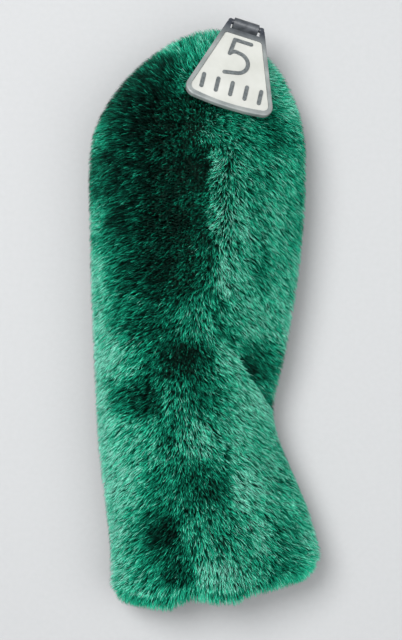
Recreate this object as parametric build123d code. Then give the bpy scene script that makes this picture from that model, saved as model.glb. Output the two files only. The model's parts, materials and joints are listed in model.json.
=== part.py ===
"""A fairway-wood head cover: a plush sock lying on its back, with a moulded number tag on a vinyl strap.

Millimetres. +Z is up off the table, +Y runs from the mouth to the crown, and +X is to the right when the
front faces you. The origin is on the flat resting face, under the middle of the cover.

The sock is one stack of layers. Every layer is the space between two envelopes, and an envelope is the
cover's outer form drawn in by an inset, so each layer follows the one outside it.
"""

import math
import os
from collections import namedtuple
from functools import cache

from build123d import *

# ---- Overall form of the sock ----
SEAM_HEIGHT = 24.0          # the side seam's height over the table
HEAD_FRONT = 33.0           # how far the front stands over the seam at the head pocket
THROAT_FRONT = 24.0         # the same at the throat
MOUTH_FRONT = 24.0          # the same at the mouth
BACK_SIDE_ROUND = 30.0      # how far in from each side the back curves before it lies flat
BACK_PRESSED = 1.0          # how much of the back's roundness the table flattens
HEAD_LEFT, HEAD_RIGHT = -65.0, 56.5
THROAT_LEFT, THROAT_RIGHT = -61.0, 38.5
MOUTH_LEFT, MOUTH_RIGHT = -52.5, 64.5
MOUTH_LEFT_Y, MOUTH_RIGHT_Y = -164.0, -148.0
THROAT_Y = -50.0
DOME_BASE_Y = 84.0
CROWN_Y = 160.0
CROWN_X = 6.0
DOME_POINTEDNESS = 1.25     # 1 is a plain elliptical crown, and more is narrower towards its tip
SKIRT_FLARE = 1.25          # 1 is an even S from mouth to throat, and more keeps the mouth's width longer
SKIRT_STEPS, HEAD_STEPS, DOME_STEP = 5, 6, 15   # stations in the skirt and the head, and degrees in the dome

# ---- Layers, from the outside in ----
PILE = 9.0                  # length of the fur as it lies
BACKING = 1.0               # knitted ground of the pile fabric
PADDING = 2.0               # foam interlining
LINING = 1.2                # brushed knit
LAYER_GAP = 0.2             # between neighbouring layers

# ---- Hem at the mouth ----
HEM_DEPTH = 22.0            # how far the pile fabric is turned up inside
HEM_THICK = 1.4             # the turned fabric, with its pile shorn
HEM_FOLD = 3.0              # thickness of the fold at the very edge
HEM_STITCH_DEPTH = 17.0     # how far in from the edge the hem is sewn
HEM_SHARP_TURN = 20.0       # degrees over two stitches, past which one is left out

# ---- Throat elastic ----
ELASTIC_WIDTH, ELASTIC_THICK = 20.0, 1.1
CASING_WIDTH, CASING_LIP, CASING_WALL = 28.0, 3.0, 0.5

# ---- Seam allowance inside the cover ----
BINDING_REACH = 6.0         # how far the bound edge stands into the cover
BINDING_THICK = 2.4

# ---- Thread ----
THREAD_WIDTH, THREAD_THICK = 0.7, 0.4
STITCH_LENGTH, STITCH_PITCH = 4.2, 6.0
STRAP_STITCH_LENGTH, STRAP_STITCH_PITCH = 1.8, 2.4
STRAP_STITCH_INSET = 1.2    # from the eye of the strap to the row that closes it
THREAD_GAP = 0.2            # keeps a straight stitch clear of the curved cloth under it

# ---- Strap ----
STRAP_WIDTH, STRAP_THICK = 14.5, 0.9
EYE_CLEAR = 0.35            # round the hinge bar
STRAP_REACH = 17.0          # in plan, from the bar back to the strap's sewn end
BEND_SHARE = 0.42           # how far along the strap, from its sewn end, it starts to bend
STRAP_SWING = 30.0          # degrees that the strap lifts off the crown
SWING_GAP = 0.6             # room kept round the strap over its swing
SWING_STEPS = 4             # blades cut one after another for that room
TAIL_GAP = 0.3              # between the sewn tail and the swinging loop

# ---- Number tag ----
TAG_ASIDE, TAG_BELOW = 11.0, 24.0   # from the tip of the crown to the spot that the tag rests over
TAG_HEADING = 13.0          # the tag's turn, clockwise, on the crown
TAG_BOTTOM_WIDTH = 52.5
TAG_HEIGHT = 52.5           # from the hinge bar's middle to the bottom corners
TAG_SAG = 2.6               # how far the bottom edge bows out
TAG_THICK = 3.4
TAG_CORNER, TAG_SHOULDER = 6.0, 1.9
TAG_RIM = 2.4               # width of the rim round the face plate
TAG_RIM_ROUND = 0.8
KNOB_ROUND = 1.4            # at both ends of the hinge bar
BAR_RADIUS = 1.5
SLOT_SIDE_CLEAR = 1.25      # beside the strap
SLOT_END_CLEAR = 2.75       # below the strap's eye
SLOT_SIDE_WALL = 2.0
SLOT_BAND = 3.0             # solid band between the slot and the face plate
FACE_SINK = 0.7             # the face plate lies this far under the rim
FACE_THICK = 1.3
FACE_CLEAR = 0.1
MARK_SINK, MARK_PROUD = 0.6, 0.35
MARK_CLEAR = 0.04
MARK_MARGIN = 2.2           # from the face plate's top and bottom edges to the marks
NUMERAL_SHARE, TALLY_SHARE = 0.585, 0.235   # heights of the marks, as shares of the face plate's height
NUMERAL_WIDTH, NUMERAL_STROKE = 14.0, 2.2
NUMERAL_TAIL_SLOPE = 13.0   # degrees that the five's straight tail falls to the left
TALLY_COUNT, TALLY_PITCH, TALLY_STROKE = 5, 8.2, 2.2
REST_GAP = 0.5              # between the fur tips and the tag lying on them

BACK_DEPTH = SEAM_HEIGHT + BACK_PRESSED
HEAD_HALF = (HEAD_RIGHT - HEAD_LEFT) / 2
DOME_LENGTH = CROWN_Y - DOME_BASE_Y
WALL = PILE + BACKING
PAD_OUT = WALL + LAYER_GAP
PAD_IN = PAD_OUT + PADDING
LINING_OUT = PAD_IN + LAYER_GAP
LINING_IN = LINING_OUT + LINING
INNER = LINING_IN + LAYER_GAP          # where anything sewn inside the lining starts
HEM_IN = INNER + HEM_THICK
SLOT_WIDTH = STRAP_WIDTH + 2 * SLOT_SIDE_CLEAR
SLOT_HEIGHT = EYE_CLEAR + STRAP_THICK + SLOT_END_CLEAR
TAG_TOP_WIDTH = SLOT_WIDTH + 2 * SLOT_SIDE_WALL
FACE_DROP = BAR_RADIUS + SLOT_HEIGHT + SLOT_BAND      # from the bar's middle down to the face plate
FACE_HEIGHT = TAG_HEIGHT - TAG_RIM - FACE_DROP
NUMERAL_HEIGHT, TALLY_HEIGHT = NUMERAL_SHARE * FACE_HEIGHT, TALLY_SHARE * FACE_HEIGHT
NUMERAL_DROP = FACE_DROP + MARK_MARGIN + NUMERAL_HEIGHT / 2
TALLY_DROP = TAG_HEIGHT - TAG_RIM - MARK_MARGIN - TALLY_HEIGHT / 2
BIG = 2 * (CROWN_Y - min(MOUTH_LEFT_Y, MOUTH_RIGHT_Y))

# One station of the sock: its left and right edge in plan, and how far it stands over and under the seam.
Station = namedtuple("Station", "left right front back")


def lerp(a, b, share):
    return a + (b - a) * share


def smooth(share):
    """An S-shaped ease from 0 to 1."""
    return share * share * (3 - 2 * share)


def body_stations():
    """Evenly spaced stations, from one step past the mouth to just short of the crown's dome."""
    made = []
    for n in range(-1, SKIRT_STEPS):
        share = n / SKIRT_STEPS
        ease = smooth(abs(share) ** SKIRT_FLARE)
        left = (lerp(MOUTH_LEFT, THROAT_LEFT, ease), lerp(MOUTH_LEFT_Y, THROAT_Y, share))
        right = (lerp(MOUTH_RIGHT, THROAT_RIGHT, ease), lerp(MOUTH_RIGHT_Y, THROAT_Y, share))
        made.append(Station(left, right, lerp(MOUTH_FRONT, THROAT_FRONT, ease), BACK_DEPTH))
    for n in range(HEAD_STEPS):
        share = n / HEAD_STEPS
        rise = math.sin(math.radians(90 * share))
        y = lerp(THROAT_Y, DOME_BASE_Y, share)
        left, right = (lerp(THROAT_LEFT, HEAD_LEFT, rise), y), (lerp(THROAT_RIGHT, HEAD_RIGHT, rise), y)
        made.append(Station(left, right, lerp(THROAT_FRONT, HEAD_FRONT, smooth(share)), BACK_DEPTH))
    return made


def dome_station(angle):
    """A station of the crown's dome, angle degrees up from its base. The dome leans over to CROWN_X."""
    along, across = math.sin(math.radians(angle)), math.cos(math.radians(angle))
    middle = lerp((HEAD_LEFT + HEAD_RIGHT) / 2, CROWN_X, along ** 2)
    y = DOME_BASE_Y + DOME_LENGTH * along
    half = HEAD_HALF * across ** DOME_POINTEDNESS
    return Station((middle - half, y), (middle + half, y), HEAD_FRONT * across, BACK_DEPTH * across)


def drawn_in(station, inset):
    """A body station with every side moved in by the inset."""
    left, right = Vector(*station.left), Vector(*station.right)
    step = (right - left).normalized() * inset
    left, right = left + step, right - step
    return Station((left.X, left.Y), (right.X, right.Y), station.front - inset, station.back - inset)


def dome_drawn_in(station, inset):
    """A dome station shrunk towards the middle of the dome's base, so that the wall is even all round."""
    base = (HEAD_LEFT + HEAD_RIGHT) / 2
    wide, long = 1 - inset / HEAD_HALF, 1 - inset / DOME_LENGTH
    y = DOME_BASE_Y + (station.left[1] - DOME_BASE_Y) * long
    left, right = (base + (edge[0] - base) * wide for edge in (station.left, station.right))
    front = station.front * (1 - inset / HEAD_FRONT)
    back = station.back * (1 - inset / BACK_DEPTH)
    return Station((left, y), (right, y), front, back)


def section(station, inset):
    """The closed outline of a station: a domed front over a back that lies flat between rounded sides."""
    left = Vector(station.left[0], station.left[1], SEAM_HEIGHT)
    right = Vector(station.right[0], station.right[1], SEAM_HEIGHT)
    across = (right - left).normalized()
    plane = Plane((left + right) / 2, x_dir=across, z_dir=across.cross(Vector(0, 0, 1)))
    half = (right - left).length / 2
    side = min((BACK_SIDE_ROUND - inset) * min(1.0, half / (HEAD_HALF - inset) * 1.3), 0.96 * half)
    flat = half - side
    edges = [
        EllipticalCenterArc((0, 0), half, station.front, 0, arc_size=90),
        EllipticalCenterArc((0, 0), half, station.front, 90, arc_size=90),
        EllipticalCenterArc((-flat, 0), side, station.back, 180, arc_size=90),
        Line((-flat, -station.back), (flat, -station.back)),
        EllipticalCenterArc((flat, 0), side, station.back, 270, arc_size=90),
    ]
    return plane.location * Wire([edge.edge() for edge in edges])


@cache
def envelope(inset):
    """The cover's outer form drawn in by the inset, run on past the mouth, with its back pressed flat."""
    body = [drawn_in(s, inset) for s in body_stations()]
    dome = [dome_drawn_in(dome_station(DOME_STEP * n), inset) for n in range(90 // DOME_STEP)]
    tip = dome_drawn_in(dome_station(90), inset)
    wires = [section(s, inset) for s in body + dome]
    whole = Solid.make_loft([*wires, Vertex(tip.left[0], tip.left[1], SEAM_HEIGHT)])
    return whole - Pos(0, 0, inset - BIG / 2) * Box(BIG, 2 * BIG, BIG)


def mouth_plane(distance):
    """The plane square to the cover at a distance into it from the mouth: x across it, z into it."""
    left, right = Vector(MOUTH_LEFT, MOUTH_LEFT_Y), Vector(MOUTH_RIGHT, MOUTH_RIGHT_Y)
    across = (right - left).normalized()
    inward = Vector(0, 0, 1).cross(across)
    middle = (left + right) / 2 + inward * distance + Vector(0, 0, SEAM_HEIGHT)
    return Plane(middle, x_dir=across, z_dir=inward)


def beyond(near, far=BIG):
    """The slab of space from near to far millimetres into the cover, square to the mouth's edge."""
    return mouth_plane((near + far) / 2).location * Box(BIG, BIG, far - near)


def across_throat(width):
    """The slab of space that the throat's band of this width takes up."""
    return Pos(0, THROAT_Y, SEAM_HEIGHT) * Box(BIG, width, BIG)


FRONT_HALF = Pos(0, 0, SEAM_HEIGHT + BIG / 2) * Box(BIG, BIG, BIG)
BACK_HALF = Pos(0, 0, SEAM_HEIGHT - BIG / 2) * Box(BIG, BIG, BIG)


def layer(outer, inner, span):
    """The shell between two insets, over a span of the cover's length."""
    return (envelope(outer) & span) - envelope(inner)


def pile_fabric():
    """The outer fabric of both panels, with its hem turned up inside the mouth."""
    wall = layer(0, WALL, beyond(0))
    fold = layer(WALL, HEM_IN, beyond(0, HEM_FOLD))
    turned = layer(INNER, HEM_IN, beyond(HEM_FOLD, HEM_DEPTH))
    return wall + fold + turned


def padding():
    """The foam interlining, left out where the throat's elastic runs."""
    whole = layer(PAD_OUT, PAD_IN, beyond(HEM_FOLD + LAYER_GAP))
    return whole - across_throat(CASING_WIDTH + 2 * LAYER_GAP)


def lining():
    return layer(LINING_OUT, LINING_IN, beyond(HEM_FOLD + LAYER_GAP))


def elastic_casing():
    """A tape channel on the fabric's backing: a wall towards the lining, and a lip along each edge."""
    whole = layer(PAD_OUT, PAD_IN, across_throat(CASING_WIDTH))
    channel = across_throat(CASING_WIDTH - 2 * CASING_LIP) - envelope(PAD_IN - CASING_WALL)
    return whole - channel


def throat_elastic():
    return layer(PAD_OUT + LAYER_GAP, PAD_OUT + LAYER_GAP + ELASTIC_THICK, across_throat(ELASTIC_WIDTH))


def seam_binding():
    """The bound seam allowance, a tape edge that stands into the cover all along the side seam."""
    tape = Pos(0, 0, SEAM_HEIGHT) * Box(BIG, BIG, BINDING_THICK)
    edge = plan_outline(INNER + BINDING_REACH)
    middle = make_face(Wire([edge, Line(edge @ 1, edge @ 0)]))
    room = Pos(0, 0, SEAM_HEIGHT) * extrude(middle, BINDING_THICK, both=True)
    return (envelope(INNER) & beyond(HEM_DEPTH + LAYER_GAP) & tape) - room


def plan_outline(inset):
    """The seam's path in plan at an inset: up the left side, round the crown and down the right side."""
    body = [drawn_in(s, inset) for s in body_stations()[1:]]
    dome = [dome_drawn_in(dome_station(DOME_STEP * n), inset) for n in range(90 // DOME_STEP)]
    tip = dome_drawn_in(dome_station(90), inset)
    stations = body + dome
    points = [s.left for s in stations] + [tip.left] + [s.right for s in reversed(stations)]
    return Spline([Vector(x, y) for x, y in points])


def stitch(place, along, up, length=STITCH_LENGTH):
    """One stitch at place, running along, and lying on a surface whose outward side is up."""
    plane = Plane(place + up * (THREAD_GAP + THREAD_THICK / 2), x_dir=along, z_dir=up)
    return plane.location * Box(length, THREAD_WIDTH, THREAD_THICK)


def seam_stitches(keep_clear):
    """The row of stitches along the binding, on its front face."""
    path = plan_outline(INNER + BINDING_REACH * 0.45)
    start = HEM_DEPTH + STITCH_PITCH
    count = int((path.length - 2 * start) // STITCH_PITCH)
    made = []
    for n in range(count + 1):
        share = (start + n * STITCH_PITCH) / path.length
        place = path @ share + Vector(0, 0, SEAM_HEIGHT + BINDING_THICK / 2)
        one = stitch(place, path % share, Vector(0, 0, 1))
        if one.distance_to(keep_clear) > THREAD_GAP:
            made.append(one)
    return Compound(made)


def hem_stitches():
    """The blind hem's stitches, round the inside of the mouth, left out where the hem turns too sharply."""
    plane = mouth_plane(HEM_STITCH_DEPTH)
    rim = (envelope(HEM_IN) & plane).face().outer_wire()
    count = int(rim.length // STITCH_PITCH)
    reach = STITCH_LENGTH / rim.length
    made = []
    for n in range(count):
        share = (n + 0.5) / count
        place, along = rim @ share, rim % share
        turn = (rim % ((share - reach) % 1)).get_angle(rim % ((share + reach) % 1))
        inward = along.cross(plane.z_dir).normalized()
        if inward.dot(plane.origin - place) < 0:
            inward = inward * -1
        if turn < HEM_SHARP_TURN:
            made.append(stitch(place, along, inward))
    return Compound(made)


# ---- The tag, built flat: x to its right, y up to the hinge bar at y = 0, z out of its face ----


def tag_outline(margin=0.0, top=BAR_RADIUS):
    """The tag's outline moved in by the margin, with its top edge at the height given."""
    slope = (TAG_BOTTOM_WIDTH - TAG_TOP_WIDTH) / 2 / TAG_HEIGHT
    ease = margin * math.hypot(1, slope)
    upper = TAG_TOP_WIDTH / 2 - slope * top - ease
    low = -TAG_HEIGHT + margin
    lower = TAG_TOP_WIDTH / 2 - slope * low - ease
    edges = [
        Line((-upper, top), (upper, top)),
        Line((upper, top), (lower, low)),
        ThreePointArc((lower, low), (0, low - TAG_SAG), (-lower, low)),
        Line((-lower, low), (-upper, top)),
    ]
    face = make_face(edges)
    bottom = face.vertices().group_by(Axis.Y)[0]
    face = fillet(bottom, TAG_CORNER - margin)
    return fillet(face.vertices().group_by(Axis.Y)[-1], TAG_SHOULDER)


def numeral_five(grow=0.0):
    """A plain figure five with an even stroke and round ends."""
    half_wide = (NUMERAL_WIDTH - NUMERAL_STROKE) / 2
    half_high = (NUMERAL_HEIGHT - NUMERAL_STROKE) / 2
    bowl = NUMERAL_HEIGHT * 0.265
    slope = math.radians(NUMERAL_TAIL_SLOPE)
    tail = 2 * half_wide - bowl + bowl * math.sin(slope)
    middle = (half_wide - bowl, bowl * math.cos(slope) + tail * math.tan(slope) - half_high)
    stem_foot = (-half_wide * 0.92, middle[1] + bowl * 0.72)
    spine = [
        Line((half_wide * 0.86, half_high), (-half_wide * 0.74, half_high)),
        Line((-half_wide * 0.74, half_high), stem_foot),
        SagittaArc(stem_foot, (middle[0], middle[1] + bowl), bowl * 0.16),
        CenterArc(middle, bowl, 90, NUMERAL_TAIL_SLOPE - 180),
    ]
    spine.append(Line(spine[-1] @ 1, (-half_wide, -half_high)))
    width = NUMERAL_STROKE + 2 * grow
    stroke = Sketch() + [trace(edge, width) for edge in spine]
    for edge in spine:
        stroke += Pos(edge @ 0) * Circle(width / 2)
    return stroke + Pos(spine[-1] @ 1) * Circle(width / 2)


def tally_bars(grow=0.0):
    """A row of short upright bars, one for each count."""
    first = -(TALLY_COUNT - 1) / 2
    bar = SlotOverall(TALLY_HEIGHT + 2 * grow, TALLY_STROKE + 2 * grow, rotation=90)
    return Sketch() + [Pos((first + n) * TALLY_PITCH, 0) * bar for n in range(TALLY_COUNT)]


def tag_frame():
    """The clear vinyl moulding: a rimmed tray with a slot under its hinge bar."""
    half = TAG_THICK / 2
    blank = Pos(0, 0, -half) * extrude(tag_outline(top=0.0), TAG_THICK)
    rim_edges = blank.edges().filter_by(lambda e: abs(e.center().Z) > half - 0.01 and e.center().Y < -0.1)
    blank = fillet(rim_edges, TAG_RIM_ROUND)
    knob = Rot(0, 90, 0) * Cylinder(TAG_THICK / 2, TAG_TOP_WIDTH)
    blank = blank + fillet(knob.edges().filter_by(GeomType.CIRCLE), KNOB_ROUND)
    slot = Pos(0, -(BAR_RADIUS + SLOT_HEIGHT / 2), 0) * Box(SLOT_WIDTH, SLOT_HEIGHT, 2 * TAG_THICK)
    over_bar = Rot(0, 90, 0) * (Cylinder(TAG_THICK, SLOT_WIDTH) - Cylinder(BAR_RADIUS, SLOT_WIDTH))
    tray = Pos(0, 0, half - FACE_SINK - FACE_THICK) * extrude(face_outline(), TAG_THICK)
    return blank - slot - over_bar - tray


def face_outline(margin=0.0):
    return tag_outline(TAG_RIM + margin, top=-FACE_DROP)


def marks_on_face(shape, margin_shape):
    """Where a mark's solid and its pocket in the face plate lie, as (mark, pocket)."""
    level = TAG_THICK / 2 - FACE_SINK
    mark = Pos(0, 0, level - MARK_SINK) * extrude(shape, MARK_SINK + MARK_PROUD)
    pocket = Pos(0, 0, level - MARK_SINK) * extrude(margin_shape, TAG_THICK)
    return mark, pocket


def tag_parts():
    """{node: solid} for the tag, built flat."""
    level = TAG_THICK / 2 - FACE_SINK
    numeral_place, tally_place = Pos(0, -NUMERAL_DROP), Pos(0, -TALLY_DROP)
    numeral, numeral_pocket = marks_on_face(
        numeral_place * numeral_five(), numeral_place * numeral_five(MARK_CLEAR)
    )
    tally, tally_pocket = marks_on_face(tally_place * tally_bars(), tally_place * tally_bars(MARK_CLEAR))
    plate = Pos(0, 0, level - FACE_THICK) * extrude(face_outline(FACE_CLEAR), FACE_THICK)
    return {
        "tag_frame": tag_frame(),
        "tag_face_plate": plate - numeral_pocket - tally_pocket,
        "tag_numeral": numeral,
        "tag_tally_marks": tally,
    }


def tag_place(cover):
    """The tag's own plane, laid on the crown of this solid with REST_GAP under it."""
    heading = math.radians(-TAG_HEADING)
    hits = cover.find_intersection_points(Axis((CROWN_X + TAG_ASIDE, CROWN_Y - TAG_BELOW, BIG), (0, 0, -1)))
    spot, normal = max(hits, key=lambda hit: hit[0].Z)
    if normal.Z < 0:
        normal = normal * -1
    right = Vector(math.cos(heading), math.sin(heading), 0)
    right = (right - normal * right.dot(normal)).normalized()
    up = normal.cross(right)
    bar = spot + up * (TAG_HEIGHT / 2) + normal * TAG_THICK
    blank = Pos(0, 0, -TAG_THICK / 2) * extrude(tag_outline(), TAG_THICK)
    for _ in range(4):
        plane = Plane(bar, x_dir=right, z_dir=normal)
        bar = bar - normal * ((plane.location * blank).distance_to(cover) - REST_GAP)
    return Plane(bar, x_dir=right, z_dir=normal)


def strap_line(plane):
    """In the tag's plane, where the bar is the origin: the strap's sewn end, and its bend."""
    back = Vector(plane.y_dir.X, plane.y_dir.Y, 0).normalized()
    sewn = plane.origin - back * STRAP_REACH
    sewn = plane.to_local_coords(Vector(sewn.X, sewn.Y, SEAM_HEIGHT))
    sewn = Vector(0, sewn.Y, sewn.Z)
    return sewn, sewn * (1 - BEND_SHARE)


def strap_parts(plane):
    """{node: solid} for the strap and its thread, in the tag's plane, with the strap along its own y."""
    sewn, bend = strap_line(plane)
    turned = Rot(math.degrees(math.atan2(sewn.Z, sewn.Y)), 0, 0)
    eye_in = BAR_RADIUS + EYE_CLEAR
    eye_out = eye_in + STRAP_THICK
    doubled = 2 * STRAP_THICK
    eye = Rot(0, 90, 0) * Cylinder(eye_in, 2 * STRAP_WIDTH)
    ring = Rot(0, 90, 0) * Cylinder(eye_out, STRAP_WIDTH)
    leg = Pos(0, bend.length / 2, 0) * Box(STRAP_WIDTH, bend.length, doubled)
    knuckle = Pos(0, bend.length, 0) * Rot(0, 90, 0) * Cylinder(STRAP_THICK, STRAP_WIDTH)
    tail_start = bend.length + STRAP_THICK + TAIL_GAP
    tail = Pos(0, (tail_start + sewn.length) / 2, 0) * Box(STRAP_WIDTH, sewn.length - tail_start, doubled)
    proud = STRAP_THICK + THREAD_GAP + THREAD_THICK / 2
    count = int((STRAP_WIDTH - STRAP_STITCH_PITCH) // STRAP_STITCH_PITCH)
    thread = [
        turned * Pos((n - (count - 1) / 2) * STRAP_STITCH_PITCH, eye_out + STRAP_STITCH_INSET, side * proud)
        * Box(STRAP_STITCH_LENGTH, THREAD_WIDTH, THREAD_THICK)
        for side in (-1, 1)
        for n in range(count)
    ]
    return {
        "strap_loop": turned * (ring + leg + knuckle - eye),
        "strap_tail": turned * tail,
        "strap_loop_stitches": Compound(thread),
    }


def strap_rooms(plane):
    """What the crown leaves open for the strap: the blades that its swing sweeps, then its sewn tail."""
    sewn, bend = strap_line(plane)
    thick = STRAP_THICK + SWING_GAP
    far = bend.length + TAG_THICK
    arm = Pos(0, far / 2, 0) * Box(STRAP_WIDTH + 2 * SWING_GAP, far + 2 * thick, 2 * thick)
    rest_angle = math.degrees(math.atan2(-bend.Z, -bend.Y))
    rooms = [
        Pos(*bend) * Rot(rest_angle - STRAP_SWING * n / SWING_STEPS, 0, 0) * arm
        for n in range(SWING_STEPS + 1)
    ]
    tail_angle = math.degrees(math.atan2(sewn.Z, sewn.Y))
    tail = Box(STRAP_WIDTH + 2 * LAYER_GAP, sewn.length + 2 * LAYER_GAP, 2 * (STRAP_THICK + LAYER_GAP))
    rooms.append(Rot(tail_angle, 0, 0) * Pos(0, sewn.length / 2, 0) * tail)
    return [plane.location * room for room in rooms]


def less(shape, rooms):
    """The shape with each of the rooms cut out of it in turn."""
    for room in rooms:
        shape = shape - room
    return shape


def build():
    """{node: shape} for the whole cover, each in its resting place."""
    plane = tag_place(envelope(0))
    rooms = strap_rooms(plane)
    strap = {node: plane.location * solid for node, solid in strap_parts(plane).items()}
    tag = {node: plane.location * solid for node, solid in tag_parts().items()}
    fabric, foam, knit = (less(shape, rooms) for shape in (pile_fabric(), padding(), lining()))
    made = {
        "front_pile_panel": fabric & FRONT_HALF,
        "back_pile_panel": fabric & BACK_HALF,
        "front_padding": foam & FRONT_HALF,
        "back_padding": foam & BACK_HALF,
        "front_lining": knit & FRONT_HALF,
        "back_lining": knit & BACK_HALF,
        "elastic_casing": elastic_casing(),
        "throat_elastic": throat_elastic(),
        "seam_binding": less(seam_binding(), rooms),
        "seam_stitches": seam_stitches(strap["strap_tail"]),
        "hem_stitches": hem_stitches(),
    }
    return made | strap | tag


if __name__ == "__main__":
    os.makedirs("parts", exist_ok=True)
    for node, shape in build().items():
        export_step(shape, f"parts/{node}.step")
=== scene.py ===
"""Golf head cover: a plush sock lying on its back, with a vinyl number tag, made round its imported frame.

The sock's form is read off the frame's pile panels once, as a grid of points round a spine. Every sewn
layer, and every fibre of the pile, is then placed on that grid by three numbers: how far along the cover,
how far round it, and how deep under the tips of the fur.
"""

import json
import math

import bpy
import numpy as np
from bpy.props import FloatProperty, FloatVectorProperty, IntProperty, PointerProperty
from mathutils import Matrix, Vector
from mathutils.bvhtree import BVHTree


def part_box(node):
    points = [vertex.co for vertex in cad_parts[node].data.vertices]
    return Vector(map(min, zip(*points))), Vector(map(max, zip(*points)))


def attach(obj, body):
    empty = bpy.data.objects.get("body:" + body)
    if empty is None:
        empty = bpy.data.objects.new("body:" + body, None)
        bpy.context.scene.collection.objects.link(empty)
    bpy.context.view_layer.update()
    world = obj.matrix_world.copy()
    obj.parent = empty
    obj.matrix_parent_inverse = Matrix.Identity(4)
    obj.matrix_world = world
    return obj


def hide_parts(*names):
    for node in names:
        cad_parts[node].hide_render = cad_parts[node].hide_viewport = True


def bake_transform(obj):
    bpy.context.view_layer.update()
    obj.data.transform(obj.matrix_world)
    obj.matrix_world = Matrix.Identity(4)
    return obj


bl_info = {
    "name": "Golf Head Cover",
    "version": (1, 0, 0),
    "blender": (4, 5, 0),
    "location": "3D Viewport > Sidebar > Head Cover",
    "description": "Sews a plush golf head cover with a number tag round its packed frame",
    "category": "Add Mesh",
}

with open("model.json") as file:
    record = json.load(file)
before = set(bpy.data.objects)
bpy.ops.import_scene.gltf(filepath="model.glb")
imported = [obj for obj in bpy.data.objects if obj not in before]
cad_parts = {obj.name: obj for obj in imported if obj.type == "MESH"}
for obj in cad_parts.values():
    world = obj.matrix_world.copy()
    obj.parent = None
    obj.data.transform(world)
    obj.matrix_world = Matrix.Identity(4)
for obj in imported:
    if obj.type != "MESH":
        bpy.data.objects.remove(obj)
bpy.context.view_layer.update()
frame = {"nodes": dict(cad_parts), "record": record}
MM = 0.001

# ---- What the frame says ----
MOUNTS = {mount["name"]: mount for mount in frame["record"]["mounts"]}
JOINTS = {joint["name"]: joint for joint in frame["record"]["behaviour"]["joints"]}
SEAM_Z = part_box("front_pile_panel")[0].z
MOUTH_MIDDLE = np.array(MOUNTS["club_mouth"]["pos_m"])
MOUTH_OUT = np.array(MOUNTS["club_mouth"]["axis"])
MOUTH_TURN = math.atan2(MOUTH_OUT[0], -MOUTH_OUT[1])
THROAT_Y = (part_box("throat_elastic")[0].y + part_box("throat_elastic")[1].y) / 2
BAR = np.array(JOINTS["tag_flip"]["pos_m"])
STRAP_HINGE = np.array(JOINTS["strap_fold"]["pos_m"])
TAG_RIGHT = -np.array(JOINTS["tag_flip"]["axis"])

# ---- Layers under the tips of the fur, in metres: each is (outer, inner) ----
GROUND = (8.0 * MM, 9.4 * MM)
HEM_TURN = (13.8 * MM, 15.0 * MM)
FOAM = (10.2 * MM, 12.2 * MM)
CASING = (10.2 * MM, 12.2 * MM)
ELASTIC = (10.4 * MM, 11.5 * MM)
KNIT = (12.4 * MM, 13.6 * MM)
LAYER_START = 10.5 * MM     # how deep in the mouth the foam and the lining begin
PILE_START = 8.0 * MM       # how deep the pile's first roots stand; on the fold the fringe takes over
FOLD_DEPTH = 8.5 * MM       # how deep the hem's fold has its middle
LINING_SLACK = 2.2 * MM     # how far the loose lining stands in
CROWN_ROUND = 76 * MM       # the length of the domed crown

# ---- Throat ----
# How far each piece reaches each way from the throat's middle, and where the foam stops short of it, in mm.
ELASTIC_HALF, CASING_HALF, FOAM_CUT_HALF = 10.0, 14.0, 14.4
# The casing's thick lip at each edge, the run of its step, and its thickness between the two lips.
CASING_LIP, CASING_STEP, CASING_WALL = 3.0 * MM, 0.4 * MM, 0.5 * MM

# ---- Fibres ----
# A fibre's three spans: the share of its lean, or of its bend on the fringe, and the share of its length.
BEND = ((0.4, 0.5), (0.85, 0.28), (1.45, 0.22))
FRINGE_BEND = ((0.0, 0.42), (0.5, 0.34), (1.0, 0.24))
FIBRE_TAPER = (1.0, 0.92, 0.62)
FIBRE_REACH = (0.0, 0.42, 0.76, 1.0)    # how far along the fibre its four centre points count as
FIBRE_POINTS = 10           # three rings of three points, and the tip
ROOT_SINK = 0.3 * MM        # under the ground cloth's face
TIP_RISE = 1.2 * MM         # about how far over the form the tips may rise
FRINGE_LENGTH = 8.5 * MM
BACK_FIBRE_WIDTH = 1.35     # times the front's: the back's fibres are fewer and wider
TAG_GAP = 0.45 * MM         # from the pressed pile to the tag on it
TABLE_GAP = 0.25 * MM       # from the table to the middle of the lowest fibres
SEED_PILE, SEED_FRINGE = 100, 99

# ---- Thread and strap ----
THREAD_RADIUS = 0.22 * MM
THREAD_SIDES, THREAD_RINGS = 8, 9
STRAP_EYE = 2.3 * MM        # from the bar's middle to the middle of the strap round it
STRAP_PLY_GAP = 0.05 * MM   # from either ply to the plane between the two
STRAP_SAMPLES = 90
# The room kept free of fibres for the strap and its swing, from the hinge line: half its width, where it
# starts and its top, how deep it is there, and how much deeper it gets along the strap.
SWING_HALF, SWING_START, SWING_TOP = 8.6 * MM, -7.0 * MM, 1.8 * MM
SWING_DEPTH, SWING_FALL = 1.6 * MM, 0.75

# Where the right of the head folds behind the skirt, and the parting of the pile above it: x, y in mm.
CREASE = [(9.3, -11), (14, -18), (20, -24.5), (29, -36.5), (34, -44), (41, -53)]
PARTING = [(6, 114), (4.5, 86), (6.5, 53), (9, 19), (11, 4), (9.3, -11)]
# How far the hem dips below a straight edge: x across the mouth and the dip, in mm.
HEM_DIPS = [
    (-54, -13), (-49, -8), (-44, -3), (-36, 1.2), (-21, 5.2), (-9, 0.5),
    (5, 4.3), (15, 5.6), (24, 2.5), (40, 0.6), (50, -1), (57, -5), (62, -9), (66, -13),
]
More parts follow.
